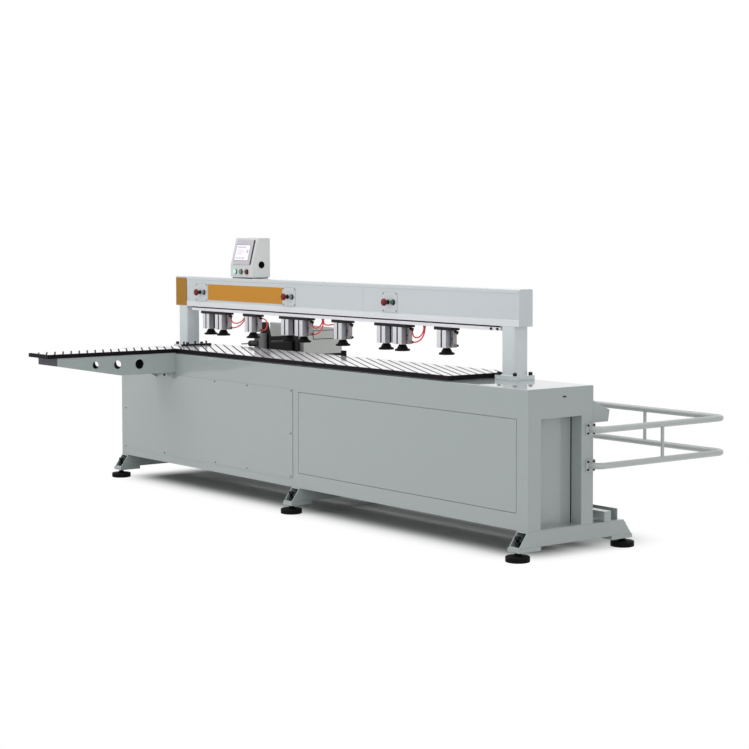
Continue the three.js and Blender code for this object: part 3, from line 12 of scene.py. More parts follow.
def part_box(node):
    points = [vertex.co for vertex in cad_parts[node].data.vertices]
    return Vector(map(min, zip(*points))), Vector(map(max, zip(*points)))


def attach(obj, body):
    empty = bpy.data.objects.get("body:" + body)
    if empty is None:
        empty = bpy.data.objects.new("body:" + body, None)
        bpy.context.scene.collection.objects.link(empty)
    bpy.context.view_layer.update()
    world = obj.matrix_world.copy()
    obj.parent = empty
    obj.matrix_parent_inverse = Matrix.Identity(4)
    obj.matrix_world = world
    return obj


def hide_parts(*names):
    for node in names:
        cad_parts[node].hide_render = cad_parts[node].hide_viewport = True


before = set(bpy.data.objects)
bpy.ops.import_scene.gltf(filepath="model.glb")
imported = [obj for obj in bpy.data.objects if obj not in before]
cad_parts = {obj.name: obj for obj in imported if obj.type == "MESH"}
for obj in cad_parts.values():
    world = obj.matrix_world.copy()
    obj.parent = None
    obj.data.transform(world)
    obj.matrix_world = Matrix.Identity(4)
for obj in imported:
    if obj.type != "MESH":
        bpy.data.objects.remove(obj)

LOG = logging.getLogger("looks")
MM = 0.001
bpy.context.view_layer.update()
CABINET_LOW, CABINET_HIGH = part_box("base_frame")
Piece, Socket = bpy.types.Object, bpy.types.NodeSocket
Pair, Triple = tuple[float, float], tuple[float, float, float]
Outline = tuple[Pair, ...]
LEFTWARD, RIGHTWARD = (-1.0, 0.0, 0.0), (1.0, 0.0, 0.0)
FORWARD, BACKWARD = (0.0, -1.0, 0.0), (0.0, 1.0, 0.0)
UPWARD, DOWNWARD = (0.0, 0.0, 1.0), (0.0, 0.0, -1.0)
# Share of a normal along an axis from which a face looks, or at least leans, that way.
FACING = 0.9
LEANING = 0.5


def spot(inset: float, setback: float, height: float) -> Vector:
    """A place in metres, from millimetres left of the cabinet's right end, behind its face and over the floor."""
    return Vector((CABINET_HIGH.x - inset * MM, CABINET_LOW.y + setback * MM, height * MM))


def middle_of(node: str) -> Vector:
    """Middle of a CAD node's box, in metres."""
    low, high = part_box(node)
    return (low + high) / 2


def four(along: float, across: float) -> list[Pair]:
    """The corners of a rectangle round its middle, from its half sizes."""
    return [(first, second) for first in (-along, along) for second in (-across, across)]


def smooth_bend(start: Vector, start_pull: Vector, end: Vector, end_pull: Vector, count: int) -> list[Vector]:
    """A smooth bend that leaves both of its ends straight.

    Args:
        start: First end.
        start_pull: How far and where the first end is pulled.
        end: Last end.
        end_pull: How far and where the last end is pulled.
        count: Number of points wanted.

    Returns:
        Points along the bend, the ends among them.
    """
    first, second = start + start_pull, end + end_pull
    route = []
    for step in range(count):
        share = step / (count - 1)
        rest = 1 - share
        route.append(start * rest ** 3 + first * (3 * rest * rest * share)
                     + second * (3 * rest * share * share) + end * share ** 3)
    return route


class Effect(Enum):
    """Surface effects that the finishes share."""

    COATED = "coated_surface"
    BRUSHED = "brushed_surface"
    MOULDED = "moulded_surface"


@dataclass(frozen=True)
class Finish:
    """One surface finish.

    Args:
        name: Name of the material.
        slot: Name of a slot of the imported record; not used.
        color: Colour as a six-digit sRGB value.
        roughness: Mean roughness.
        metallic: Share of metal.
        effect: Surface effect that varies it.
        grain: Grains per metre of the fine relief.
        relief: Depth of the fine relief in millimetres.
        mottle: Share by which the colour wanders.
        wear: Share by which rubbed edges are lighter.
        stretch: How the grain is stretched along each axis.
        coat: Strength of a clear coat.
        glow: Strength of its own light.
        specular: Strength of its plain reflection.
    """

    name: str
    slot: str
    color: str
    roughness: float
    metallic: float = 0.0
    effect: Effect = Effect.COATED
    grain: float = 500.0
    relief: float = 0.02
    mottle: float = 0.04
    wear: float = 0.05
    stretch: Triple = (1.0, 1.0, 1.0)
    coat: float = 0.0
    glow: float = 0.0
    specular: float = 0.5


UPRIGHT_BRUSH: Triple = (1.0, 1.0, 0.05)
LENGTHWISE_BRUSH: Triple = (0.05, 1.0, 1.0)
TURNED_BRUSH: Triple = (1.0, 0.3, 1.0)

PAINT = Finish("cabinet_paint", "grey_paint", "9ba5a4", 0.4, coat=1.0, grain=420, relief=0.035, mottle=0.03)
PAINT_DARK = Finish("nose_paint", "grey_paint", "41434c", 0.5, coat=0.1, specular=0.3)
PALE_PAINT = Finish("beam_paint", "light_paint", "c6cdd0", 0.36, coat=1.0, grain=420, relief=0.03, mottle=0.02)
# A lighter copy of the beam paint on the posts: painted light.
POSTS_PAINTED_LIGHTER = replace(PALE_PAINT, name="posts_painted_lighter", color="d2dadc")
# A lighter copy of the beam paint: painted highlight along the beam's lower lip.
BEAM_LIP_HIGHLIGHT = replace(PALE_PAINT, name="beam_lip_highlight", color="dfe2e6")
RAIL_PAINT = replace(PALE_PAINT, name="rail_paint", color="eceaef", roughness=0.4, coat=0.2)
TUBE_PAINT = Finish("tube_paint", "light_paint", "b3b9b7", 0.38, coat=0.35, grain=420, relief=0.03)
BOX_PAINT = Finish("box_paint", "light_paint", "d4d6d5", 0.5, grain=900, relief=0.05, mottle=0.02)
COVER_PAINT = Finish("cover_paint", "light_paint", "bfc1be", 0.48, grain=900, relief=0.05, mottle=0.03)
STRIP = Finish("wear_strip", "laminate", "e9e5ea", 0.16, coat=0.5, grain=60, relief=0.02, mottle=0.01, wear=0.0)
EDGE = Finish("edge_band", "laminate", "0e0c12", 0.55, grain=900, relief=0.03, effect=Effect.MOULDED, wear=0.6,
              specular=0.1)
BLACK = Finish("black_coat", "black_metal", "0d0d10", 0.45, grain=900, relief=0.04, mottle=0.1, wear=1.2,
               specular=0.2)
SCREW = Finish("black_screw", "black_metal", "0a0a0c", 0.38, grain=900, relief=0.02, wear=1.5,
               specular=0.25)
RUBBER = Finish("rubber", "black_rubber", "070708", 0.7, effect=Effect.MOULDED, grain=1400, relief=0.06,
                mottle=0.15, wear=0.8, specular=0.14)
# Black for the box's gland and the cover plate's rim; elsewhere painted shade behind the end slot, in the end recess's
# inner corner, in the gap under the beam and round the slab strips.
BLACK_AND_SHADE = Finish("black_and_painted_shade", "black_rubber", "08080a", 0.9, effect=Effect.MOULDED, wear=0.0, specular=0.05)
ALUMINIUM = Finish("anodised", "aluminium", "dcdde0", 0.36, 0.55, Effect.BRUSHED, 800, 0.012, wear=0.1,
                   stretch=UPRIGHT_BRUSH)
# A darker copy of the anodising: painted shade on the cylinders' side faces.
SIDE_SHADE = Finish("anodised_painted_side_shade", "aluminium", "96979b", 0.4, 0.6, Effect.BRUSHED, 800, 0.012, wear=0.3,
                   stretch=UPRIGHT_BRUSH)
# Painted shade in the cylinders' grooves.
GROOVE = Finish("groove_shade", "aluminium", "232429", 0.5, 0.3, Effect.BRUSHED, 800, 0.012,
                stretch=UPRIGHT_BRUSH)
CASTING = Finish("cast_block", "aluminium", "7c7a7c", 0.5, 0.4, Effect.MOULDED, 1100, 0.16, mottle=0.3)
STEEL = Finish("bright_steel", "steel", "b4b6ba", 0.24, 1.0, Effect.BRUSHED, 900, 0.015, stretch=UPRIGHT_BRUSH)
GROUND_STEEL = Finish("ground_steel", "steel", "a9abb0", 0.28, 1.0, Effect.BRUSHED, 900, 0.015,
                      stretch=LENGTHWISE_BRUSH)
BED_STEEL = Finish("bed_steel", "steel", "77797d", 0.42, 0.6, Effect.BRUSHED, 700, 0.02, mottle=0.08,
                   stretch=LENGTHWISE_BRUSH)
CHUCK_STEEL = Finish("chuck_steel", "steel", "4b4c51", 0.34, 0.8, Effect.BRUSHED, 900, 0.02, wear=0.8,
                     stretch=TURNED_BRUSH)
DRILL_STEEL = Finish("drill_steel", "steel", "54443b", 0.3, 1.0, Effect.BRUSHED, 900, 0.015,
                     stretch=TURNED_BRUSH)
RED = Finish("red_plastic", "red_plastic", "6e0b12", 0.42, effect=Effect.MOULDED, grain=900, coat=0.04, specular=0.3)
DARK_RED = Finish("dark_red_plastic", "red_plastic", "6c1c21", 0.42, effect=Effect.MOULDED, grain=900)
GREEN = Finish("green_plastic", "green_plastic", "195c43", 0.35, effect=Effect.MOULDED, grain=900, coat=0.25)
GREEN_LENS = Finish("green_lens", "green_plastic", "b4e6d2", 0.25, effect=Effect.MOULDED, grain=900, coat=0.4,
                    glow=0.25)
GREY = Finish("grey_plastic", "grey_plastic", "74827f", 0.4, effect=Effect.MOULDED, grain=900)
DARK_GREY = Finish("dark_plastic", "grey_plastic", "1d1e21", 0.5, effect=Effect.MOULDED, grain=900, wear=0.5,
                   specular=0.3)
BEZEL = Finish("screen_bezel", "grey_plastic", "c2bfc8", 0.42, effect=Effect.MOULDED, grain=1200, relief=0.03)
SCREEN = Finish("screen_glass", "grey_plastic", "e6dfe8", 0.08, effect=Effect.MOULDED, grain=40, relief=0.002,
                coat=1.0, glow=0.35, wear=0.0)
SCREEN_MARK = Finish("screen_mark", "grey_plastic", "b9b3c4", 0.15, effect=Effect.MOULDED, glow=0.25)
VALVE = Finish("valve_body", "aluminium", "a79e9c", 0.4, 0.2, Effect.MOULDED, 900, 0.02, wear=0.1)
LABEL = Finish("valve_plate", "aluminium", "7f8698", 0.35, 0.4, Effect.BRUSHED, 900, 0.01)
FITTING = Finish("fitting_metal", "steel", "8b8f88", 0.35, 0.9, Effect.BRUSHED, 900, 0.015)
HOSE = Finish("red_hose", "red_hose", "ea151d", 0.3, effect=Effect.MOULDED, grain=300, coat=0.2, relief=0.004)
ORANGE = Finish("orange_plate", "light_paint", "c98a26", 0.55, mottle=0.05, specular=0.3)
YELLOW = Finish("yellow_plate", "light_paint", "a8771c", 0.55, mottle=0.06, specular=0.3)
PLATE = Finish("station_plate", "light_paint", "cfd3d5", 0.3, 0.1, coat=0.2)
RIM = Finish("plate_rim", "black_metal", "9aa0a3", 0.4, mottle=0.03)


def linear(code: str) -> tuple[float, float, float, float]:
    """Turns a six-digit sRGB value into linear colour.

    Args:
        code: The sRGB value.

    Returns:
        Linear red, green, blue and alpha.
    """
    shares = [int(code[index:index + 2], 16) / 255 for index in (0, 2, 4)]
    straight = [s / 12.92 if s <= 0.04045 else ((s + 0.055) / 1.055) ** 2.4 for s in shares]
    return (*straight, 1.0)


class Wiring:
    """Adds nodes to a node tree and feeds their inputs."""

    def __init__(self, tree: bpy.types.NodeTree) -> None:
        """Keeps the tree that it works in."""
        self.tree = tree

    def feed(self, value: object, socket: Socket) -> None:
        """Links a socket, or sets a plain value, on an input.

        Args:
            value: Socket to link from, or value to set.
            socket: The input.
        """
        if isinstance(value, Socket):
            self.tree.links.new(value, socket)
        else:
            socket.default_value = value

    def add(self, kind: str, inputs: dict[str | int, object] | None = None, **settings: object) -> bpy.types.Node:
        """Adds a shader node.

        Args:
            kind: Kind of node.
            inputs: What feeds its inputs, by name or number.
            **settings: Its settings.

        Returns:
            The node.
        """
        node = self.tree.nodes.new(f"ShaderNode{kind}")
        for key, value in settings.items():
            setattr(node, key, value)
        for key, value in (inputs or {}).items():
            self.feed(value, node.inputs[key])
        return node

    def reckon(self, operation: str, first: object, second: object) -> Socket:
        """Output of a Math node on two sockets or numbers."""
        return self.add("Math", {0: first, 1: second}, operation=operation).outputs[0]


class EffectGroup(Wiring):
    """Builds a surface effect as a node group.

    Attributes:
        SPREAD: Share by which the grain varies the roughness.
        BROAD_SCALE: Scale of the broad variation.
        BROAD_DETAIL: Detail of the broad variation.
        FINE_DETAIL: Detail of the grain and of the rubbing.
        RUB_SCALE: Scale of the noise that breaks up rubbed edges.
        RUB_START: Noise level at which rubbing starts.
        RUB_FULL: Noise level at which rubbing is complete.
        MIDDLE: Mean level of a noise.
        ROUGH_WANDER: Share by which the broad variation changes the roughness.
        POLISH: Share by which rubbing smooths the surface.
        BUMP: Strength of the relief.
    """

    SPREAD = {Effect.COATED: 0.12, Effect.BRUSHED: 0.25, Effect.MOULDED: 0.2}
    BROAD_SCALE = {Effect.COATED: 2.2, Effect.BRUSHED: 30.0, Effect.MOULDED: 30.0}
    BROAD_DETAIL = 3.0
    FINE_DETAIL = 2.0
    RUB_SCALE = 140.0
    RUB_START = 0.42
    RUB_FULL = 0.62
    MIDDLE = 0.5
    ROUGH_WANDER = 0.15
    POLISH = 0.2
    BUMP = 0.5

    def __init__(self, effect: Effect) -> None:
        """Opens an empty group with its inputs and outputs.

        Args:
            effect: The effect that the group will hold.
        """
        super().__init__(bpy.data.node_groups.new(effect.value, "ShaderNodeTree"))
        self.effect = effect
        for name, kind in (("Place", "Vector"), ("Edge", "Float"), ("Colour", "Color"), ("Roughness", "Float"),
                           ("Grain", "Float"), ("Relief", "Float"), ("Mottle", "Float"), ("Wear", "Float"),
                           ("Stretch", "Vector")):
            self.tree.interface.new_socket(name, in_out="INPUT", socket_type=f"NodeSocket{kind}")
        for name, kind in (("Colour", "Color"), ("Roughness", "Float"), ("Normal", "Vector")):
            self.tree.interface.new_socket(name, in_out="OUTPUT", socket_type=f"NodeSocket{kind}")

    def _noise(self, place: Socket, scale: object, detail: float) -> Socket:
        """Output of a noise at a place, with its scale and detail."""
        return self.add("TexNoise", {"Vector": place, "Scale": scale, "Detail": detail}).outputs["Fac"]

    def build(self) -> bpy.types.NodeTree:
        """Wires colour, roughness and relief.

        Returns:
            The finished group.
        """
        inputs = self.tree.nodes.new("NodeGroupInput").outputs
        results = self.tree.nodes.new("NodeGroupOutput").inputs
        place = inputs["Place"]
        stretched = self.add("VectorMath", {0: place, 1: inputs["Stretch"]}, operation="MULTIPLY")
        broad = self._noise(place, self.BROAD_SCALE[self.effect], self.BROAD_DETAIL)
        fine = self._noise(stretched.outputs[0], inputs["Grain"], self.FINE_DETAIL)
        rubbed = self.add("MapRange", {"Value": self._noise(place, self.RUB_SCALE, self.FINE_DETAIL),
                                       "From Min": self.RUB_START, "From Max": self.RUB_FULL})
        worn = self.reckon("MULTIPLY", rubbed.outputs["Result"], inputs["Edge"])
        wander = self.reckon("SUBTRACT", broad, self.MIDDLE)
        mottled = self.reckon("ADD", self.reckon("MULTIPLY", wander, inputs["Mottle"]), 1.0)
        shade = self.reckon("ADD", mottled, self.reckon("MULTIPLY", worn, inputs["Wear"]))
        tint = self.add("VectorMath", {0: inputs["Colour"], "Scale": shade}, operation="SCALE")
        spread = self.reckon("MULTIPLY", self.reckon("SUBTRACT", fine, self.MIDDLE), self.SPREAD[self.effect])
        drift = self.reckon("ADD", self.reckon("MULTIPLY", wander, self.ROUGH_WANDER), 1.0)
        polished = self.reckon("SUBTRACT", self.reckon("ADD", spread, drift),
                               self.reckon("MULTIPLY", worn, self.POLISH))
        bump = self.add("Bump", {"Strength": self.BUMP, "Distance": inputs["Relief"], "Height": fine})
        self.feed(tint.outputs[0], results["Colour"])
        self.feed(self.reckon("MULTIPLY", inputs["Roughness"], polished), results["Roughness"])
        self.feed(bump.outputs["Normal"], results["Normal"])
        return self.tree


class FinishLibrary:
    """Builds each finish once as a procedural material."""

    COAT_ROUGHNESS = 0.06

    def __init__(self) -> None:
        """Starts with no material made."""
        self._made: dict[str, bpy.types.Material] = {}
        self._effects: dict[Effect, bpy.types.NodeTree] = {}

    def material(self, finish: Finish) -> bpy.types.Material:
        """Material of a finish.

        Args:
            finish: The finish.

        Returns:
            Its material, made on first use.
        """
        if finish.name not in self._made:
            self._made[finish.name] = self._build(finish)
        return self._made[finish.name]

    def _effect(self, effect: Effect) -> bpy.types.NodeTree:
        """Node group of an effect.

        Args:
            effect: The effect.

        Returns:
            Its group, made on first use.
        """
        if effect not in self._effects:
            self._effects[effect] = EffectGroup(effect).build()
        return self._effects[effect]

    def _build(self, finish: Finish) -> bpy.types.Material:
        """Wires a material from its finish.

        Args:
            finish: The finish.

        Returns:
            The material.
        """
        made = bpy.data.materials.new(finish.name)
        made.use_nodes = True
        wiring = Wiring(made.node_tree)
        shader = made.node_tree.nodes["Principled BSDF"]
        effect = wiring.add("Group", node_tree=self._effect(finish.effect))
        for name, value in (("Place", wiring.add("TexCoord").outputs["Object"]),
                            ("Edge", wiring.add("Attribute", attribute_name=Workshop.EDGE_MARK).outputs["Fac"]),
                            ("Colour", linear(finish.color)), ("Roughness", finish.roughness),
                            ("Grain", finish.grain), ("Relief", finish.relief * MM),
                            ("Mottle", finish.mottle), ("Wear", finish.wear), ("Stretch", finish.stretch)):
            wiring.feed(value, effect.inputs[name])
        for name, value in (("Base Color", effect.outputs["Colour"]), ("Roughness", effect.outputs["Roughness"]),
                            ("Normal", effect.outputs["Normal"]), ("Metallic", finish.metallic),
                            ("Specular IOR Level", finish.specular), ("Coat Weight", finish.coat),
                            ("Coat Roughness", self.COAT_ROUGHNESS)):
            wiring.feed(value, shader.inputs[name])
        if finish.glow:
            shader.inputs["Emission Color"].default_value = linear(finish.color)
            shader.inputs["Emission Strength"].default_value = finish.glow
        made.diffuse_color = linear(finish.color)
        return made


class Workshop:
    """Models pieces with Blender's operators and hands them over finished.

    Attributes:
        EDGE_MARK: Mesh attribute that marks rubbed edges.
        STRENGTHS: Attribute in which a bevel leaves the strength of each face.
        STRONG: Strength of a face that isn't part of a rounding.
        LEAD: Factor by which such a face outweighs a rounding.
        SLIVER: Area in square metres below which a face takes over its neighbours' shading.
        THIN: Width in metres below which a face does the same.
        SHADING_MARGIN: Degrees by which shading reaches further than rounding.
        FLAT: Largest angle in degrees within a face that counts as flat.
        WELD: Distance in metres below which a copied node's corners are one.
        TIGHT_WELD: The same distance for a turned or bent piece.
        CORNER_FACES: Faces across a plate's corner.
        PLATE_EDGE: Width in millimetres of a plate's edge rounding.
        PLATE_EDGE_SHARE: Largest share of the thickness that the rounding takes.
        PLATE_ANGLE: Smallest angle in degrees of a plate's rounded edge.
        NUT_FACE: Radius of a nut's end face, as a share of its own.
        NUT_CHAMFER: Height of a nut's chamfer, as a share of its width.
        BEND_STEPS: Steps of a tube's bend.
        TUBE_CREASE: Smallest angle in degrees that stays sharp on a tube.
        ROUND_FACES: Resolution of a curve's round section.
        SCREW_FOOT: Radius of a screw head's foot as a share of its own, and height in millimetres.
        SCREW_RINGS: Radius and height of a screw head's rings, as shares of its own.
    """

    EDGE_MARK = "rubbed_edge"
    STRENGTHS = "__mod_weightednormals_faceweight"
    STRONG = 16384
    LEAD = 1e6
    SLIVER = 1e-9
    THIN = 2.5e-4
    SHADING_MARGIN = 2.0
    FLAT = 0.4
    WELD = 2e-5
    TIGHT_WELD = 1e-6
    CORNER_FACES = 6
    PLATE_EDGE = 0.3
    PLATE_EDGE_SHARE = 0.25
    PLATE_ANGLE = 50.0
    NUT_FACE = 0.9
    NUT_CHAMFER = 0.06
    BEND_STEPS = 16
    TUBE_CREASE = 50.0
    ROUND_FACES = 6
    SCREW_FOOT = (0.95, -0.5)
    SCREW_RINGS = ((1, 0), (1, 0.88), (0.9, 1), (0.5, 1), (0.5, 0.45), (0.1, 0.35))

    def __init__(self, finishes: FinishLibrary) -> None:
        """Opens the workshop with its finishes."""
        self.finishes = finishes
        self.delivered: list[Piece] = []

    def clear(self) -> None:
        """Leaves edit mode and deselects everything."""
        if bpy.context.object and bpy.context.object.mode != "OBJECT":
            bpy.ops.object.mode_set(mode="OBJECT")
        bpy.ops.object.select_all(action="DESELECT")

    def activate(self, piece: Piece) -> None:
        """Selects one piece and nothing else.

        Args:
            piece: The piece.
        """
        self.clear()
        piece.select_set(True)
        bpy.context.view_layer.objects.active = piece

    def edit(self, piece: Piece) -> None:
        """Opens a piece in edit mode with everything selected.

        Args:
            piece: The piece.
        """
        self.activate(piece)
        bpy.ops.object.mode_set(mode="EDIT")
        bpy.ops.mesh.select_all(action="SELECT")

    def close(self) -> None:
        """Leaves edit mode."""
        bpy.ops.object.mode_set(mode="OBJECT")

    def _seal(self) -> None:
        """Welds the selected mesh shut, turns its faces outward and leaves edit mode."""
        bpy.ops.mesh.remove_doubles(threshold=self.TIGHT_WELD)
        bpy.ops.mesh.normals_make_consistent(inside=False)
        self.close()

    def bake_place(self, piece: Piece) -> None:
        """Moves a piece's place, turn and size into its mesh."""
        self.activate(piece)
        bpy.ops.object.transform_apply(location=True, rotation=True, scale=True)

    def stand(self, piece: Piece, foot: Vector, direction: Sequence[float]) -> None:
        """Stands an upright piece on a foot, along a direction, and bakes that into its mesh.

        Args:
            piece: The piece, modelled upwards from the origin.
            foot: Place of its foot in metres.
            direction: Direction in which it stands.
        """
        piece.rotation_mode = "QUATERNION"
        piece.rotation_quaternion = Vector(UPWARD).rotation_difference(Vector(direction))
        piece.location = foot
        self.bake_place(piece)

    def modify(self, piece: Piece, kind: str, **settings: object) -> None:
        """Adds a modifier and applies it.

        Args:
            piece: The piece.
            kind: Kind of modifier.
            **settings: Its settings.
        """
        self.activate(piece)
        modifier = piece.modifiers.new(kind.lower(), kind)
        for key, value in settings.items():
            setattr(modifier, key, value)
        bpy.ops.object.modifier_apply(modifier=modifier.name)

    def soften(self, piece: Piece, width: float, segments: int = 3, angle: float = 30.0) -> None:
        """Rounds a piece's edges, marks them as rubbed and evens out its shading.

        Args:
            piece: The piece.
            width: Width of the rounding in millimetres.
            segments: Faces across it.
            angle: Smallest angle of an edge that is rounded, in degrees.
        """
        self.modify(piece, "BEVEL", width=width * MM, segments=segments, limit_method="ANGLE",
                    angle_limit=math.radians(angle), use_clamp_overlap=True, miter_outer="MITER_ARC",
                    face_strength_mode="FSTR_ALL")
        self._mark_edges(piece)
        self._even_shading(piece, angle + self.SHADING_MARGIN)

    def _even_shading(self, piece: Piece, angle: float) -> None:
        """Shades flat faces flat and roundings smoothly.

        Args:
            piece: The piece.
            angle: Largest angle between faces that share their shading, in degrees.
        """
        mesh, limit = piece.data, math.cos(math.radians(angle))
        strengths = mesh.attributes.get(self.STRENGTHS)
        weights = [polygon.area * (self.LEAD if strengths and strengths.data[polygon.index].value >= self.STRONG
                                   else 1.0) for polygon in mesh.polygons]
        faces: list[list[tuple[float, Vector]]] = [[] for _ in mesh.vertices]
        for polygon, weight in zip(mesh.polygons, weights):
            for index in polygon.vertices:
                faces[index].append((weight, polygon.normal.copy()))
        normals = [Vector(UPWARD)] * len(mesh.loops)
        for polygon, weight in zip(mesh.polygons, weights):
            longest = max((mesh.vertices[one].co - mesh.vertices[other].co).length for one, other in polygon.edge_keys)
            sliver = polygon.area < self.SLIVER or (weight > polygon.area and polygon.area < self.THIN * longest)
            for corner, index in zip(polygon.loop_indices, polygon.vertices):
                lead = polygon.normal
                if sliver:
                    lead = max(faces[index], key=lambda face: face[0])[1]
                total = sum((normal * weight for weight, normal in faces[index] if normal.dot(lead) > limit), Vector())
                normals[corner] = total.normalized() if total.length > 0 else lead.copy()
        mesh.normals_split_custom_set(normals)

    def _mark_edges(self, piece: Piece) -> None:
        """Marks the corners of narrow rounding faces, where the finish is rubbed.

        Args:
            piece: The piece.
        """
        strengths = piece.data.attributes.get(self.STRENGTHS)
        if strengths is None:
            return
        mark = piece.data.attributes.get(self.EDGE_MARK) or piece.data.attributes.new(
            self.EDGE_MARK, "FLOAT", "CORNER")
        for polygon in piece.data.polygons:
            if strengths.data[polygon.index].value < self.STRONG:
                for corner in polygon.loop_indices:
                    mark.data[corner].value = 1.0

    def smooth(self, piece: Piece, angle: float = 40.0) -> None:
        """Shades a piece smoothly up to an angle."""
        self.activate(piece)
        bpy.ops.object.shade_smooth_by_angle(angle=math.radians(angle), keep_sharp_edges=False)

    def paint(self, piece: Piece, finish: Finish, where: Callable[[Vector, Vector], bool] | None = None) -> Piece:
        """Gives a piece, or those of its faces that a test picks, a finish.

        Args:
            piece: The piece.
            finish: The finish.
            where: Test of a face's middle and normal; all faces without it.

        Returns:
            The piece.
        """
        slots = piece.data.materials
        made = self.finishes.material(finish)
        if made.name not in slots:
            slots.append(made)
        number = slots.find(made.name)
        for polygon in piece.data.polygons:
            if where is None or where(polygon.center, polygon.normal):
                polygon.material_index = number
        return piece

    def deliver(self, piece: Piece, finish: Finish | None, body: str,
                nodes: Iterable[str] = ()) -> Piece:
        """Finishes a piece: finish, body and the CAD nodes that it stands for.

        Args:
            piece: The piece.
            finish: Finish of all its faces, or None where they have theirs.
            body: Body that it rides on.
            nodes: CAD nodes that it replaces.

        Returns:
            The piece.
        """
        if finish is not None:
            self.paint(piece, finish)
        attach(piece, body)
        if nodes:
            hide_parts(*nodes)
        self.delivered.append(piece)
        return piece

    def deliver_joined(self, name: str, pieces: Sequence[Piece], main: Finish, body: str,
                       nodes: Iterable[str] = ()) -> Piece:
        """Joins painted pieces into one and hands it over.

        Args:
            name: Name of the whole.
            pieces: The pieces, each with its finish.
            main: A finish; not used.
            body: Body that it rides on.
            nodes: CAD nodes that it replaces.

        Returns:
            The joined piece.
        """
        whole = self.merge(name, pieces)
        return self.deliver(whole, None, body, nodes)

    def copy_of(self, node: str, name: str) -> Piece:
        """A merged copy of a CAD node, ready to be refined.

        Args:
            node: The node.
            name: Name of the new piece.

        Returns:
            The copy, with its flat areas divided evenly.
        """
        piece = bpy.data.objects.new(name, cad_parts[node].data.copy())
        piece.data.materials.clear()
        bpy.context.scene.collection.objects.link(piece)
        self.edit(piece)
        bpy.ops.mesh.customdata_custom_splitnormals_clear()
        bpy.ops.mesh.remove_doubles(threshold=self.WELD)
        bpy.ops.mesh.dissolve_limited(angle_limit=math.radians(self.FLAT))
        bpy.ops.mesh.quads_convert_to_tris(quad_method="BEAUTY", ngon_method="BEAUTY")
        bpy.ops.mesh.beautify_fill(angle_limit=math.radians(self.FLAT))
        self.close()
        return piece

    def block(self, name: str, low: Sequence[float], high: Sequence[float], edge: float) -> Piece:
        """A block with rounded edges between two corners.

        Args:
            name: Name of the piece.
            low: Lowest corner in metres.
            high: Highest corner in metres.
            edge: Width of the edge rounding in millimetres, or zero.

        Returns:
            The piece.
        """
        low, high = Vector(low), Vector(high)
        self.clear()
        bpy.ops.mesh.primitive_cube_add(size=1, location=(low + high) / 2)
        piece = bpy.context.object
        piece.name = name
        piece.scale = high - low
        self.bake_place(piece)
        if edge:
            self.soften(piece, edge)
        return piece

    def divide(self, piece: Piece) -> None:
        """Divides faces of more than four corners evenly, so that rounding can't fold them.

        Args:
            piece: The piece.
        """
        self.edit(piece)
        bpy.ops.mesh.dissolve_limited(angle_limit=math.radians(self.FLAT))
        bpy.ops.mesh.select_all(action="SELECT")
        bpy.ops.mesh.quads_convert_to_tris(quad_method="BEAUTY", ngon_method="BEAUTY")
        self.close()

    def plate(self, name: str, middle: Vector, half_width: float, half_height: float, gap: float,
              thickness: float, corner: float) -> Piece:
        """A thin plate that faces forward, with rounded corners.

        Args:
            name: Name of the piece.
            middle: Middle of the face that it lies on, in metres.
            half_width: Half its width in millimetres.
            half_height: Half its height in millimetres.
            gap: Distance from the face behind it in millimetres.
            thickness: Its thickness in millimetres.
            corner: Radius of its corners in millimetres.

        Returns:
            The piece.
        """
        low = middle + Vector((-half_width, -gap - thickness, -half_height)) * MM
        high = middle + Vector((half_width, -gap, half_height)) * MM
        piece = self.block(name, low, high, 0)
        self.edit(piece)
        bpy.ops.mesh.select_mode(type="EDGE")
        bpy.ops.mesh.select_all(action="DESELECT")
        self.close()
        for edge in piece.data.edges:
            start, end = (piece.data.vertices[index].co for index in edge.vertices)
            edge.select = abs(end.y - start.y) > thickness / 2 * MM
        bpy.ops.object.mode_set(mode="EDIT")
        bpy.ops.mesh.bevel(offset=corner * MM, segments=self.CORNER_FACES, affect="EDGES")
        bpy.ops.mesh.select_mode(type="VERT")
        self.close()
        width = min(self.PLATE_EDGE, thickness * self.PLATE_EDGE_SHARE)
        self.soften(piece, width, segments=2, angle=self.PLATE_ANGLE)
        return piece

    def turned(self, name: str, outline: Sequence[Pair], foot: Vector,
               direction: Sequence[float] = UPWARD, segments: int = 48, crease: float = 35.0) -> Piece:
        """A turned piece, drawn up ring by ring from a circle.

        Args:
            name: Name of the piece.
            outline: Radius and height of each ring in millimetres, from the foot up.
            foot: Place of the foot's middle in metres.
            direction: Direction in which it rises.
            segments: Sides of each ring.
            crease: Smallest angle that stays a sharp edge, in degrees.

        Returns:
            The piece.
        """
        self.clear()
        radius, height = outline[0]
        bpy.ops.mesh.primitive_circle_add(vertices=segments, radius=radius * MM, fill_type="NGON",
                                          location=(0, 0, height * MM))
        piece = bpy.context.object
        piece.name = name
        self.bake_place(piece)
        self.edit(piece)
        bpy.ops.mesh.flip_normals()
        for new_radius, new_height in outline[1:]:
            bpy.ops.mesh.extrude_region_move(
                TRANSFORM_OT_translate={"value": (0, 0, (new_height - height) * MM)})
            share = new_radius / radius
            bpy.ops.transform.resize(value=(share, share, 1), center_override=(0, 0, 0))
            radius, height = new_radius, new_height
        bpy.ops.mesh.select_all(action="SELECT")
        self._seal()
        self.stand(piece, foot, direction)
        self.smooth(piece, crease)
        return piece

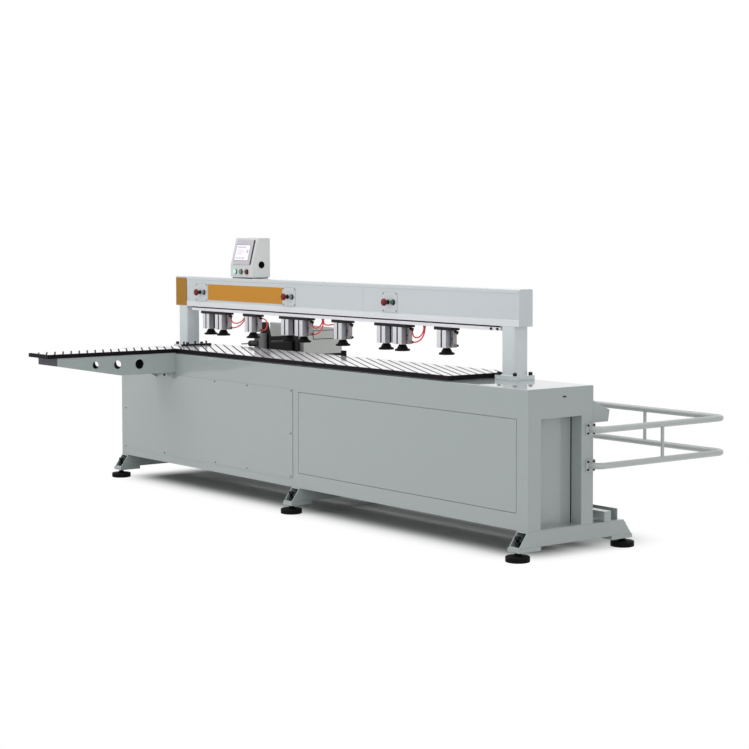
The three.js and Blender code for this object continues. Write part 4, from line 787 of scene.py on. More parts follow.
    def hexagon(self, name: str, across: float, low: float, high: float, axis: Vector) -> Piece:
        """A hexagonal nut with chamfered faces.

        Args:
            name: Name of the piece.
            across: Width across its flats in millimetres.
            low: Height of its lower face in millimetres.
            high: Height of its upper face in millimetres.
            axis: A point on its upright axis.

        Returns:
            The piece.
        """
        radius = across / math.sqrt(3)
        face, chamfer = radius * self.NUT_FACE, across * self.NUT_CHAMFER
        outline = ((face, low), (radius, low + chamfer), (radius, high - chamfer), (face, high))
        return self.turned(name, outline, Vector((axis.x, axis.y, 0)), segments=6, crease=20)

    def tube(self, name: str, corners: Sequence[Vector], bends: Sequence[float], radius: float) -> Piece:
        """A bent tube through corners.

        Args:
            name: Name of the piece.
            corners: Ends and corners of its middle line.
            bends: Bend radius at each inner corner, in metres.
            radius: Radius of the tube in metres.

        Returns:
            The tube as a mesh.
        """
        points = [corners[0]]
        for before, corner, after, bend in zip(corners, corners[1:], corners[2:], bends):
            entry, leaving = (corner - before).normalized(), (after - corner).normalized()
            turn = entry.angle(leaving)
            start = corner - entry * (bend * math.tan(turn / 2))
            inward = (leaving - entry * leaving.dot(entry)).normalized()
            for step in range(self.BEND_STEPS + 1):
                angle = turn * step / self.BEND_STEPS
                points.append(start + entry * (bend * math.sin(angle)) + inward * (bend * (1 - math.cos(angle))))
        points.append(corners[-1])
        piece = self.curve(name, points, radius)
        self.activate(piece)
        bpy.ops.object.convert(target="MESH")
        piece = bpy.context.object
        self.edit(piece)
        self._seal()
        self.smooth(piece, self.TUBE_CREASE)
        return piece

    def curve(self, name: str, points: Sequence[Vector], radius: float) -> Piece:
        """A round curve through points.

        Args:
            name: Name of the piece.
            points: Points of its middle line.
            radius: Radius in metres.

        Returns:
            The curve object.
        """
        data = bpy.data.curves.new(name, "CURVE")
        data.dimensions = "3D"
        data.bevel_depth = radius
        data.bevel_resolution = self.ROUND_FACES
        data.use_fill_caps = True
        line = data.splines.new("POLY")
        line.points.add(len(points) - 1)
        for knot, point in zip(line.points, points):
            knot.co = (*point, 1.0)
        line.use_smooth = True
        piece = bpy.data.objects.new(name, data)
        bpy.context.scene.collection.objects.link(piece)
        return piece

    def duplicate(self, source: Piece, place: Matrix) -> Piece:
        """A copy of a piece with its own mesh, moved to a place.

        Args:
            source: The piece modelled once.
            place: Where the copy goes.

        Returns:
            The copy.
        """
        piece = bpy.data.objects.new(source.name, source.data.copy())
        bpy.context.scene.collection.objects.link(piece)
        piece.data.transform(place)
        return piece

    def scrap(self, *pieces: Piece) -> None:
        """Throws away pieces that only served as patterns or tools."""
        for piece in pieces:
            bpy.data.objects.remove(piece)

    def merge(self, name: str, pieces: Sequence[Piece]) -> Piece:
        """Joins pieces into one object that keeps their finishes.

        Args:
            name: Name of the whole.
            pieces: The pieces; the first one carries the rest.

        Returns:
            The joined object.
        """
        self.activate(pieces[0])
        for piece in pieces:
            piece.select_set(True)
        bpy.ops.object.join()
        whole = bpy.context.object
        whole.name = name
        return whole

    def carve(self, piece: Piece, tool: Piece) -> None:
        """Cuts one piece out of another and throws the tool away."""
        self.modify(piece, "BOOLEAN", operation="DIFFERENCE", object=tool, solver="EXACT")
        self.scrap(tool)

    def screw(self, name: str, foot: Vector, direction: Sequence[float], radius: float, height: float) -> Piece:
        """A socket cap screw's head.

        Args:
            name: Name of the piece.
            foot: Middle of its seat in metres.
            direction: Direction in which it stands off.
            radius: Radius of the head in millimetres.
            height: Height of the head in millimetres.

        Returns:
            The piece.
        """
        share, sink = self.SCREW_FOOT
        outline = [(radius * share, sink), *((radius * wide, height * up) for wide, up in self.SCREW_RINGS)]
        return self.paint(self.turned(name, outline, foot, direction, segments=24, crease=30), SCREW)


@dataclass
class Studio:
    """Camera, light and floor as in the photograph.

    Places and sizes are in metres and angles in degrees. The eye is in millimetres from the cabinet's corner.
    """

    focal: float = 87.84
    shift: Pair = (0.01215, -0.0708)
    turn: float = 52.518
    tilt: float = 3.0302
    roll: float = -0.0956
    eye: Triple = (-6741.4, -6196.2, 1697.8)
    sky_level: float = 0.52
    lamps: tuple[tuple[str, Triple, Triple, float, float], ...] = (
        ("overhead", (0.0, -0.3, 5.2), (0.0, 0.0, 0.8), 7.0, 195.0),
        ("left_fill", (-3.0, -6.5, 4.4), (0.0, 0.0, 0.6), 3.0, 66.0),
        ("right_fill", (8.0, -3.0, 3.0), (1.0, 0.0, 0.9), 4.0, 66.0),
    )
    floor_size: float = 120.0
    floor_white: float = 0.93
    floor_roughness: float = 0.9
    shade_low: Triple = (-1.75, 0.0, 0.0)
    shade_high: Triple = (1.72, 0.5, 0.0)
    # Colour of the floor near the machine: painted shadow.
    painted_shadow_tone: float = 0.5
    shade_reach: Pair = (0.05, 0.42)

    def build(self) -> None:
        """Sets up camera, sky, lamps and floor."""
        scene = bpy.context.scene
        scene.view_settings.view_transform = "Standard"
        data = bpy.data.cameras.new("camera")
        data.lens = self.focal
        data.shift_x, data.shift_y = self.shift
        camera = bpy.data.objects.new("camera", data)
        camera.location = spot(*self.eye)
        aim = Matrix.Rotation(math.radians(self.turn), 3, "Z") @ Matrix.Rotation(math.radians(90 - self.tilt), 3, "X")
        camera.rotation_euler = (aim @ Matrix.Rotation(math.radians(self.roll), 3, "Z")).to_euler()
        scene.collection.objects.link(camera)
        scene.camera = camera
        self._sky()
        for name, place, target, size, power in self.lamps:
            self._lamp(name, Vector(place), Vector(target), size, power)
        self._floor()

    def _seen_rays(self, wiring: Wiring) -> Socket:
        """Tells rays that see the background from those that light the object.

        Args:
            wiring: Wiring of the tree to build in.

        Returns:
            Output that is one for camera, glossy and transmission rays.
        """
        rays = wiring.add("LightPath").outputs
        mirrored = wiring.reckon("MAXIMUM", rays["Is Camera Ray"], rays["Is Glossy Ray"])
        return wiring.reckon("MAXIMUM", mirrored, rays["Is Transmission Ray"])

    def _sky(self) -> None:
        """White behind the object, with a softer light from it."""
        world = bpy.data.worlds.new("sky")
        bpy.context.scene.world = world
        world.use_nodes = True
        wiring = Wiring(world.node_tree)
        back = world.node_tree.nodes["Background"]
        level = wiring.add("MapRange", {"Value": self._seen_rays(wiring), "To Min": self.sky_level, "To Max": 1.0})
        wiring.feed((1, 1, 1, 1), back.inputs["Color"])
        wiring.feed(level.outputs["Result"], back.inputs["Strength"])

    def _lamp(self, name: str, place: Vector, target: Vector, size: float, power: float) -> None:
        """An area lamp that looks at a target.

        Args:
            name: Name of the lamp.
            place: Where it hangs.
            target: What it looks at.
            size: Width of its face in metres.
            power: Its power in watts.
        """
        data = bpy.data.lights.new(name, "AREA")
        data.size = size
        data.energy = power
        lamp = bpy.data.objects.new(name, data)
        lamp.location = place
        lamp.rotation_mode = "QUATERNION"
        lamp.rotation_quaternion = (target - place).to_track_quat("-Z", "Y")
        bpy.context.scene.collection.objects.link(lamp)

    def _reach(self, wiring: Wiring) -> Socket:
        """Distance of a place on the floor from the area that the machine shades.

        Args:
            wiring: Wiring of the floor's material.

        Returns:
            The distance in metres.
        """
        low, high = Vector(self.shade_low), Vector(self.shade_high)
        place = wiring.add("TexCoord").outputs["Object"]
        for operation, value in (("SUBTRACT", (low + high) / 2), ("ABSOLUTE", Vector()),
                                 ("SUBTRACT", (high - low) / 2), ("MAXIMUM", Vector())):
            place = wiring.add("VectorMath", {0: place, 1: value}, operation=operation).outputs["Vector"]
        return wiring.add("VectorMath", {0: place}, operation="LENGTH").outputs["Value"]

    def _floor(self) -> None:
        """A pale floor that keeps the shadow, with its colour darkened near the machine as a painted shadow, and runs
        out into plain white.
        """
        bpy.ops.object.select_all(action="DESELECT")
        bpy.ops.mesh.primitive_plane_add(size=self.floor_size)
        floor = bpy.context.object
        floor.name = "floor"
        made = bpy.data.materials.new("floor_white")
        made.use_nodes = True
        wiring = Wiring(made.node_tree)
        shader, out = made.node_tree.nodes["Principled BSDF"], made.node_tree.nodes["Material Output"]
        near, end = self.shade_reach
        far = wiring.add("MapRange", {"Value": self._reach(wiring), "From Min": near, "From Max": end},
                         interpolation_type="SMOOTHSTEP").outputs["Result"]
        # Darker floor colour near the machine: painted shadow.
        painted_shadow = wiring.add("MapRange", {"Value": far, "To Min": self.painted_shadow_tone, "To Max": self.floor_white})
        share = wiring.reckon("MULTIPLY", far, self._seen_rays(wiring))
        white = wiring.add("Emission")
        mix = wiring.add("MixShader", {0: share, 1: shader.outputs["BSDF"], 2: white.outputs["Emission"]})
        wiring.feed(self.floor_roughness, shader.inputs["Roughness"])
        wiring.feed(0.0, shader.inputs["Specular IOR Level"])
        wiring.feed(painted_shadow.outputs["Result"], shader.inputs["Base Color"])
        wiring.feed(mix.outputs["Shader"], out.inputs["Surface"])
        floor.data.materials.append(made)


@dataclass
class Builder:
    """Base of the classes that model one area of the machine; sizes are in millimetres."""

    shop: Workshop
    edge: float = 1.2

    def build(self) -> None:
        """Models the area's pieces."""
        raise NotImplementedError

    def refined(self, node: str, finish: Finish, body: str = "frame", edge: float | None = None) -> Piece:
        """A CAD node with rounded edges and a finish.

        Args:
            node: The node.
            finish: Its finish.
            body: Body that it rides on.
            edge: Width of the edge rounding in millimetres, where it isn't the area's.

        Returns:
            The piece that stands for the node.
        """
        piece = self.shop.copy_of(node, f"{node}_body")
        self.shop.soften(piece, edge or self.edge)
        return self.shop.deliver(piece, finish, body, [node])

    def fill(self, name: str, low: Triple, high: Triple, finish: Finish, edge: float) -> None:
        """Adds a block of the fixed frame between two spots, with a finish and an edge width."""
        self.shop.deliver(self.shop.block(name, spot(*low), spot(*high), edge), finish, "frame")


@dataclass
class Hoses(Builder):
    """Red air hoses between the valve fittings and the ports under the rail."""

    radius: float = 4.0
    points: int = 36
    valve_setback: float = 9.0
    cylinder_half: float = 40.0
    fitting_end: float = 87.3
    outlet_middle: float = 80.0
    outlet_foot: float = 1088.9
    upper: float = 1102.2
    lower: float = 1027.2
    port_foot: float = 1119.0
    collar: Outline = ((8.2, -0.3), (9.0, 0.5), (9.0, 5.1), (8.4, 5.7))
    end_gap: float = 0.3
    pair_spread: float = 3.7
    feed_spread: float = 5.6
    lower_pull: float = 64.0
    port_pull: float = 52.0
    feed_pull: float = 70.0
    loop_pull: float = 75.0
    sets: tuple[tuple[int, int, float, float], ...] = ((1, 2, 259.0, 56.0), (3, 5, 199.0, 46.0), (5, 8, 199.0, 62.0))
    loop_foot: int = 3
    feed_unit: int = 3
    feed_foot: int = 6

    def build(self) -> None:
        """Models three sets that meet in their ports, and the loop."""
        for unit, foot, offset, upper_pull in self.sets:
            self._set(unit, middle_of(f"presser_foot_{foot}"), offset, upper_pull)
        base = middle_of(f"presser_foot_{self.loop_foot}")
        pull = self._along(self.loop_pull)
        self._hose("hose_2_loop", "hose_loop_2", self._place(base, self.fitting_end, self.valve_setback, self.upper),
                   pull, self._place(base, self.fitting_end, self.valve_setback, self.lower), pull)

    def _place(self, base: Vector, inset: float, setback: float, height: float) -> Vector:
        """A place beside a foot's middle, with its height over the floor."""
        return Vector((base.x + inset * MM, base.y + setback * MM, height * MM))

    def _along(self, length: float) -> Vector:
        """A pull along X."""
        return Vector((length * MM, 0, 0))

    def _down(self, length: float) -> Vector:
        """A pull straight down."""
        return Vector((0, 0, -length * MM))

    def _set(self, unit: int, base: Vector, offset: float, upper_pull: float) -> None:
        """The hoses of one unit and the collar in which they meet.

        Args:
            unit: Number of the unit.
            base: Middle of its last foot.
            offset: Distance of its port from that foot.
            upper_pull: Pull on both ends of the upper hose.
        """
        node = f"hose_set_{unit}"
        self._hose(f"hose_{unit}_upper", node,
                   self._place(base, self.outlet_middle, self.valve_setback, self.outlet_foot),
                   self._down(upper_pull),
                   self._place(base, offset, -self.pair_spread, self.port_foot), self._down(upper_pull))
        self._hose(f"hose_{unit}_lower", node,
                   self._place(base, self.fitting_end, self.valve_setback, self.lower),
                   self._along(self.lower_pull),
                   self._place(base, offset, self.pair_spread, self.port_foot), self._down(self.port_pull))
        if unit == self.feed_unit:
            face = middle_of(f"presser_foot_{self.feed_foot}").x / MM - self.cylinder_half - self.end_gap
            self._hose("hose_4_feed", node,
                       self._place(base, offset + self.feed_spread, 0.0, self.port_foot), self._down(self.port_pull),
                       self._place(base, face - base.x / MM, 0.0, self.upper), self._along(-self.feed_pull))
        ring = self.shop.turned(f"hose_{unit}_collar", self.collar, self._place(base, offset, 0.0, self.port_foot))
        self.shop.deliver(ring, RED, "frame")

    def _hose(self, name: str, node: str, start: Vector, start_pull: Vector, end: Vector, end_pull: Vector) -> None:
        """One hose along a smooth bend.

        Args:
            name: Name of the piece.
            node: CAD node that it stands for.
            start: First end.
            start_pull: Pull on the first end.
            end: Last end.
            end_pull: Pull on the last end.
        """
        route = smooth_bend(start, start_pull, end, end_pull, self.points)
        piece = self.shop.curve(name, route, self.radius * MM)
        piece.data.materials.append(self.shop.finishes.material(HOSE))
        self.shop.deliver(piece, None, "frame", [node])


@dataclass
class Cabinet(Builder):
    """Cabinet, panels, skids, feet and the sheets behind."""

    screw_places: tuple[Pair, ...] = (
        (3995, 211), (3495, 211), (2883, 211), (2528, 211), (2060, 211), (2885, 720), (2523, 720), (2057, 720),
        (3991, 467), (2059, 467))
    cover_proud: float = 3.3
    screw_size: Pair = (4.0, 2.6)
    disc: Outline = ((57, 0), (61, 1.2), (63, 4), (63, 9), (61.6, 10), (61.6, 12), (63, 13), (63, 17), (61.6, 18),
                     (61.6, 20), (63, 21), (63, 25), (61.5, 28), (58, 30), (26, 31.5), (23, 33), (21, 37), (13, 38),
                     (10, 38.2))
    thread_low: float = 38.5
    thread_high: float = 118.0
    thread_pitch: float = 1.8
    thread_crest: float = 9.9
    thread_root: float = 8.9
    nut_across: float = 30.0
    nut_heights: tuple[Pair, ...] = ((39.2, 49.4), (76.6, 88.0), (88.4, 99.0), (114.0, 129.0))
    stud_end: Pair = (7.0, 120.0)
    # Dark blocks that are painted shade: behind the slot in the right end and in the inner corner of the end recess.
    shades: tuple[tuple[str, Triple, Triple], ...] = (
        ("end_slot_shade", (2.6, 238.0, 820.7), (1.6, 264.0, 830.7)),
        ("recess_corner_shade", (77.9, 368.0, 155.0), (75.0, 371.9, 721.0)))
    trough_ends: tuple[tuple[Triple, Triple], ...] = (
        ((3.0, 539.4, 150.6), (-0.4, 587.6, 203.6)), ((4050.4, 539.4, 150.6), (4047.0, 587.6, 203.6)))
    shade_edge: float = 0.2
    cover_edge: float = 0.9
    guard_edge: float = 0.8
    trough_edge: float = 0.6
    trough_end_edge: float = 0.5
    skid_edge: float = 1.6

    def build(self) -> None:
        """Models the cabinet from its frame down to the feet."""
        self.refined("base_frame", PAINT)
        # Painted shade: dark blocks behind the end slot and in the recess corner.
        for name, low, high in self.shades:
            self.fill(name, low, high, BLACK_AND_SHADE, self.shade_edge)
        self.refined("front_door_panel", PAINT)
        self.refined("front_cover_panel", PAINT, edge=self.cover_edge)
        for index, (inset, height) in enumerate(self.screw_places, start=1):
            foot = spot(inset, -self.cover_proud, height)
            screw = self.shop.screw(f"cover_screw_{index}", foot, FORWARD, *self.screw_size)
            self.shop.deliver(screw, SCREW, "frame")
        self.refined("chip_guard", PAINT, edge=self.guard_edge)
        self.refined("chain_trough", PAINT, edge=self.trough_edge)
        for index, (low, high) in enumerate(self.trough_ends, start=1):
            self.fill(f"trough_end_{index}", low, high, PAINT, self.trough_end_edge)
        for side in ("right", "middle", "left"):
            self.refined(f"skid_{side}", PAINT, edge=self.skid_edge)
            for end in ("front", "rear"):
                self._foot(f"levelling_foot_{end}_{side}")

    def _foot(self, node: str) -> None:
        """A levelling foot: ribbed disc, hub, threaded stud and four nuts.

        Args:
            node: Name of its CAD node.
        """
        shop = self.shop
        axis = middle_of(node)
        ground = Vector((axis.x, axis.y, 0))
        thread = []
        height = self.thread_low
        while height < self.thread_high:
            thread += [(self.thread_crest, height), (self.thread_root, height + self.thread_pitch / 2)]
            height += self.thread_pitch
        pieces = [shop.paint(shop.turned(f"{node}_pad", self.disc, ground, segments=56, crease=28), RUBBER)]
        stud = shop.turned(f"{node}_stud", [*thread, self.stud_end], ground, segments=24, crease=60)
        nuts = [shop.hexagon(f"{node}_nut", self.nut_across, low, high, axis) for low, high in self.nut_heights]
        pieces += [shop.paint(piece, SCREW) for piece in (stud, *nuts)]
        shop.deliver_joined(f"{node}_body", pieces, RUBBER, "frame", [node])


@dataclass
class Table(Builder):
    """Main slab, wing slab, bracket and stop bar."""

    strip_low: float = 899.4
    strip_high: float = 902.0
    strip_shade_margin: float = 2.4
    hole_count: int = 3
    hole_first: float = 269.0
    hole_pitch: float = 158.0
    hole_height: float = 813.0
    hole_climb: float = 4.0
    hole_radius: float = 31.0
    hole_taper: float = 4.0
    hole_sides: int = 64
    hole_overrun: float = 1.2
    nose_depth: float = 1.0
    gusset_bolt: Pair = (-89.0, 736.0)
    gusset_screw: Pair = (7.0, 6.0)
    slab_edge: float = 0.5
    bracket_edge: float = 1.0
    stop_edge: float = 0.8

    def build(self) -> None:
        """Models the slabs, then what stands under and on them."""
        for node in ("table_slab", "wing_slab"):
            piece = self.shop.copy_of(node, f"{node}_body")
            for finish in (EDGE, BLACK_AND_SHADE, STRIP):
                piece.data.materials.append(self.shop.finishes.material(finish))
            self._draw_strips(piece)
            self.shop.soften(piece, self.slab_edge, segments=2)
            self.shop.deliver(piece, None, "frame", [node])
        self._bracket()
        self.refined("stop_bar", BLACK, edge=self.stop_edge)

    def _draw_strips(self, piece: Piece) -> None:
        """Paints the slab, with a dark margin round each pale strip that widens the dark lines between the strips:
        partly the black slab in the gaps, partly painted shade in them.

        Args:
            piece: The slab.
        """
        shop = self.shop
        shop.edit(piece)
        bpy.ops.mesh.select_mode(type="FACE")
        bpy.ops.mesh.select_all(action="DESELECT")
        shop.close()
        for polygon in piece.data.polygons:
            polygon.select = (polygon.normal.z > FACING
                              and self.strip_low * MM < polygon.center.z < self.strip_high * MM)
            # Strip tops first get the dark finish; after the inset only their rims keep it, as painted shade along the
            # gaps.
            polygon.material_index = int(polygon.select)
        bpy.ops.object.mode_set(mode="EDIT")
        bpy.ops.mesh.inset(thickness=self.strip_shade_margin * MM)
        shop.close()
        for polygon in piece.data.polygons:
            if polygon.select:
                polygon.material_index = 2

    def _bracket(self) -> None:
        """The wing's bracket with round holes, its dark nose plate and gusset bolts."""
        shop = self.shop
        piece = shop.copy_of("wing_bracket", "wing_bracket_body")
        low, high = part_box("wing_bracket")
        for index in range(self.hole_count):
            place = spot(0, -self.hole_first - self.hole_pitch * index, self.hole_height + self.hole_climb * index)
            radius = self.hole_radius - self.hole_taper * index
            shop.clear()
            bpy.ops.mesh.primitive_cylinder_add(
                vertices=self.hole_sides, radius=radius * MM, depth=(high.x - low.x) * self.hole_overrun,
                location=((low.x + high.x) / 2, place.y, place.z), rotation=(0, math.pi / 2, 0))
            shop.carve(piece, bpy.context.object)
        shop.divide(piece)
        shop.soften(piece, self.bracket_edge)
        shop.deliver(piece, PAINT, "frame", ["wing_bracket"])
        front = low.y + self.nose_depth * MM
        shop.paint(piece, PAINT_DARK, lambda middle, normal: middle.y < front and normal.y < -LEANING)
        setback, height = self.gusset_bolt
        place = spot(0, setback, height)
        bolts = [shop.screw("bolt", Vector((x, place.y, place.z)), side, *self.gusset_screw)
                 for x, side in ((high.x, RIGHTWARD), (low.x, LEFTWARD))]
        shop.deliver(shop.merge("gusset_bolts", bolts), SCREW, "frame")


@dataclass
class Gantry(Builder):
    """Beam, posts, presser rail and the plates on the beam."""

    rail_screws: tuple[float, ...] = (646.0, 595.0)
    rail_face: float = 324.0
    rail_middle: float = 1138.0
    rail_screw: Pair = (7.0, 7.0)
    # Dark strip on the rail just under the beam: painted shade of the gap between them.
    gap_shade: tuple[Triple, Triple] = ((3669.0, 323.6, 1149.5), (575.0, 324.8, 1154.8))
    gap_shade_edge: float = 0.3
    plates: tuple[tuple[str, Triple, Triple, Finish], ...] = (
        ("front_plate", (3467.0, 321.5, 1204.0), (2612.0, 322.7, 1307.0), ORANGE),
        ("left_plate", (3863.5, 319.5, 1159.0), (3731.0, 320.7, 1345.0), YELLOW))
    plate_edge: float = 0.4
    lip_highlight_height: float = 30.0
    flange_thickness: float = 24.0
    bolt_sideways: float = 63.0
    bolt_back: float = 56.0
    bolt_size: Pair = (11.0, 16.5)
    rail_edge: float = 1.0

    def build(self) -> None:
        """Models beam, posts, rail and plates."""
        beam = self.refined("press_beam", PALE_PAINT)
        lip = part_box("press_beam")[0].z + self.lip_highlight_height * MM
        # The front faces of the beam's lowest strip are painted lighter: painted highlight on the lip.
        self.shop.paint(beam, BEAM_LIP_HIGHLIGHT, lambda middle, normal: normal.y < -LEANING and middle.z < lip)
        for side in ("right", "left"):
            self._post(f"post_{side}")
        self.refined("presser_rail", RAIL_PAINT, edge=self.rail_edge)
        # Painted shade in the gap between beam and rail.
        self.fill("rail_gap_shade", *self.gap_shade, BLACK_AND_SHADE, self.gap_shade_edge)
        for index, inset in enumerate(self.rail_screws, start=1):
            foot = spot(inset, self.rail_face, self.rail_middle)
            screw = self.shop.screw(f"rail_screw_{index}", foot, FORWARD, *self.rail_screw)
            self.shop.deliver(screw, SCREW, "frame")
        for name, low, high, finish in self.plates:
            self.fill(name, low, high, finish, self.plate_edge)

    def _post(self, node: str) -> None:
        """A post with its flange and four cap screws.

        Args:
            node: Name of its CAD node.
        """
        shop = self.shop
        middle = middle_of(node)
        low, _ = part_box(node)
        post = shop.copy_of(node, f"{node}_body")
        shop.soften(post, self.edge)
        # The post gets the lighter copy of the beam paint: painted light.
        pieces = [shop.paint(post, POSTS_PAINTED_LIGHTER)]
        for sideways, back in four(self.bolt_sideways, self.bolt_back):
            foot = Vector((middle.x + sideways * MM, middle.y + back * MM, low.z + self.flange_thickness * MM))
            pieces.append(shop.screw("bolt", foot, UPWARD, *self.bolt_size))
        shop.deliver_joined(f"{node}_body", pieces, POSTS_PAINTED_LIGHTER, "frame", [node])


@dataclass
class Pressers(Builder):
    """Presser units with their cylinders, valves and feet."""

    units: tuple[tuple[int, ...], ...] = ((1, 2), (3,), (4, 5), (6,), (7, 8), (9,))
    straight_unit: int = 2
    bar_thickness: float = 17.0
    bar_margin: float = 76.0
    bar_half_depth: float = 31.0
    bolt_sideways: float = 58.0
    bolt_size: Pair = (4.5, 3.0)
    cylinder_half: float = 40.0
    cylinder_length: float = 98.5
    slot_half: float = 9.0
    slot_depth: float = 8.0
    mouth_half: float = 6.0
    lip_depth: float = 2.0
    overrun: float = 0.1
    bar_edge: float = 1.0
    valve_width: float = 22.0
    valve_half_depth: float = 12.0
    valve_height: float = 92.0
    valve_top_gap: float = 1.0
    valve_setback: float = 9.0
    valve_sink: float = 0.2
    valve_edge: float = 1.5
    fitting_inset: float = 8.5
    fitting_thread: float = 19.0
    outlet_reach: float = 18.0
    outlet: Outline = ((5.5, 0), (5.5, 11.8), (4.9, 13), (3.3, 13), (3.3, 12))
    label_low: Triple = (-8.0, -0.5, -30.0)
    label_high: Triple = (8.0, 0.1, 30.0)
    label_edge: float = 0.3
    knob: Outline = ((5, 0), (5, 1.6), (4.2, 2.4), (1.5, 2.4), (1, 1.2))
    fitting_outline: Outline = ((5.4, -0.3), (6.9, 0.2), (6.9, 6), (6.0, 7), (6.0, 11), (7.0, 12), (7.0, 20),
                                (6.4, 21), (6.4, 24.2), (5.6, 25), (3.3, 25), (3.3, 24))
    foot_outline: Outline = ((34, 0.8), (35, 0), (42.2, 0), (44, 1.8), (44, 8.6), (42.6, 10.6), (37, 12.2),
                             (33.4, 13.4), (31.2, 15.6), (27.4, 24), (23.6, 30.6), (21.2, 33.6), (20, 34.6),
                             (20, 38), (19, 39), (9, 39))
    rod_outline: Outline = ((8, 38), (8, 127.5), (7, 129))

    def build(self) -> None:
        """Models one cylinder, then all units and feet."""
        body = self._cylinder()
        for number, feet in enumerate(self.units, start=1):
            self._unit(number, feet, body)
            for foot in feet:
                self._foot(foot)
        self.shop.scrap(body)

    def _cylinder(self) -> Piece:
        """Grooved cylinder body, modelled once at the origin, with its top at zero height.

        Returns:
            The pattern piece.
        """
        shop = self.shop
        half, length = self.cylinder_half * MM, self.cylinder_length * MM
        body = shop.block("cylinder", (-half, -half, -length), (half, half, 0), 0)
        deep, lip, past = self.slot_depth * MM, self.lip_depth * MM, 1 + self.overrun
        for quarter in range(4):
            for side, out in ((self.mouth_half * MM, half * past), (self.slot_half * MM, half - lip)):
                tool = shop.block("tool", (-side, half - deep, -length * past), (side, out, length * self.overrun), 0)
                tool.data.transform(Matrix.Rotation(quarter * math.pi / 2, 4, "Z"))
                shop.carve(body, tool)
        shop.divide(body)
        shop.soften(body, self.edge, segments=2)
        shop.paint(body, ALUMINIUM)
        # The faces towards ±X get the darker copy: painted shade on those sides.
        shop.paint(body, SIDE_SHADE, lambda middle, normal: abs(normal.x) > FACING)
        floor = half - deep + lip
        # The groove walls are painted dark: painted shade in the grooves.
        return shop.paint(body, GROOVE, lambda middle, normal: abs(normal.z) < LEANING and max(
            abs(middle.x), abs(middle.y)) < floor)

    def _unit(self, number: int, feet: Sequence[int], body: Piece) -> None:
        """One unit: black mounting bar, cylinders, valve block and fittings.

        Args:
            number: Number of the unit.
            feet: Numbers of its feet.
            body: The cylinder to copy.
        """
        shop = self.shop
        node = f"presser_unit_{number}"
        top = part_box(node)[1].z
        centres = [middle_of(f"presser_foot_{foot}") for foot in feet]
        reach = Vector((self.bar_margin, self.bar_half_depth, 0)) * MM
        low = Vector((centres[0].x, centres[0].y, top - self.bar_thickness * MM)) - reach
        high = Vector((centres[-1].x, centres[-1].y, top)) + reach
        pieces = [shop.paint(shop.block("bar", low, high, self.bar_edge), BLACK)]
        pieces += [shop.duplicate(body, Matrix.Translation((centre.x, centre.y, low.z))) for centre in centres]
        side = Vector((centres[-1].x + self.cylinder_half * MM, centres[-1].y + self.valve_setback * MM,
                       low.z - self.valve_top_gap * MM))
        pieces += self._valve(side, number == self.straight_unit)
        for centre in centres:
            foot = Vector((centre.x - self.bolt_sideways * MM, centre.y, low.z))
            pieces.append(shop.screw("bolt", foot, DOWNWARD, *self.bolt_size))
        shop.deliver_joined(f"{node}_body", pieces, ALUMINIUM, "frame", [node])

    def _valve(self, side: Vector, straight: bool) -> list[Piece]:
        """Valve block with its front plate, knob and two fittings.

        Args:
            side: Top of the cylinder face that it sits on, in its own middle plane.
            straight: Whether the upper fitting has no downward outlet.

        Returns:
            The painted pieces.
        """
        shop = self.shop
        corner = Vector((self.valve_width, self.valve_half_depth, self.valve_height)) * MM
        block = shop.block("valve", side + Vector((-self.valve_sink * MM, -corner.y, -corner.z)),
                           side + Vector((corner.x, corner.y, 0)), self.valve_edge)
        pieces = [shop.paint(block, VALVE)]
        face = side + Vector((corner.x / 2, -corner.y, -corner.z / 2))
        label = shop.block("label", face + Vector(self.label_low) * MM, face + Vector(self.label_high) * MM,
                           self.label_edge)
        knob = shop.turned("knob", self.knob, face, FORWARD, segments=24, crease=30)
        pieces += [shop.paint(label, LABEL), shop.paint(knob, DARK_GREY)]
        upper = side + Vector((corner.x, 0, -self.fitting_inset * MM))
        lower = side + Vector((corner.x, 0, (self.fitting_inset - self.valve_height) * MM))
        for place, finish in ((upper, SCREW), (lower, FITTING)):
            fitting = shop.turned("fitting", self.fitting_outline, place, RIGHTWARD, segments=32)
            pieces.append(shop.paint(fitting, finish))
            shop.paint(fitting, SCREW, lambda middle, normal: middle.x > place.x + self.fitting_thread * MM)
        if not straight:
            foot = upper + Vector((self.outlet_reach * MM, 0, 0))
            pieces.append(shop.paint(shop.turned("outlet", self.outlet, foot, DOWNWARD, segments=28), SCREW))
        return pieces

    def _foot(self, number: int) -> None:
        """A bright rod with a flared rubber foot.

        Args:
            number: Number of the presser.
        """
        shop = self.shop
        node = f"presser_foot_{number}"
        middle = middle_of(node)
        place = Vector((middle.x, middle.y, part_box(node)[0].z))
        pad = shop.paint(shop.turned("pad", self.foot_outline, place, segments=56, crease=30), RUBBER)
        rod = shop.paint(shop.turned("rod", self.rod_outline, place, segments=32), STEEL)
        shop.deliver_joined(f"{node}_body", [pad, rod], RUBBER, f"presser_{number}", [node])


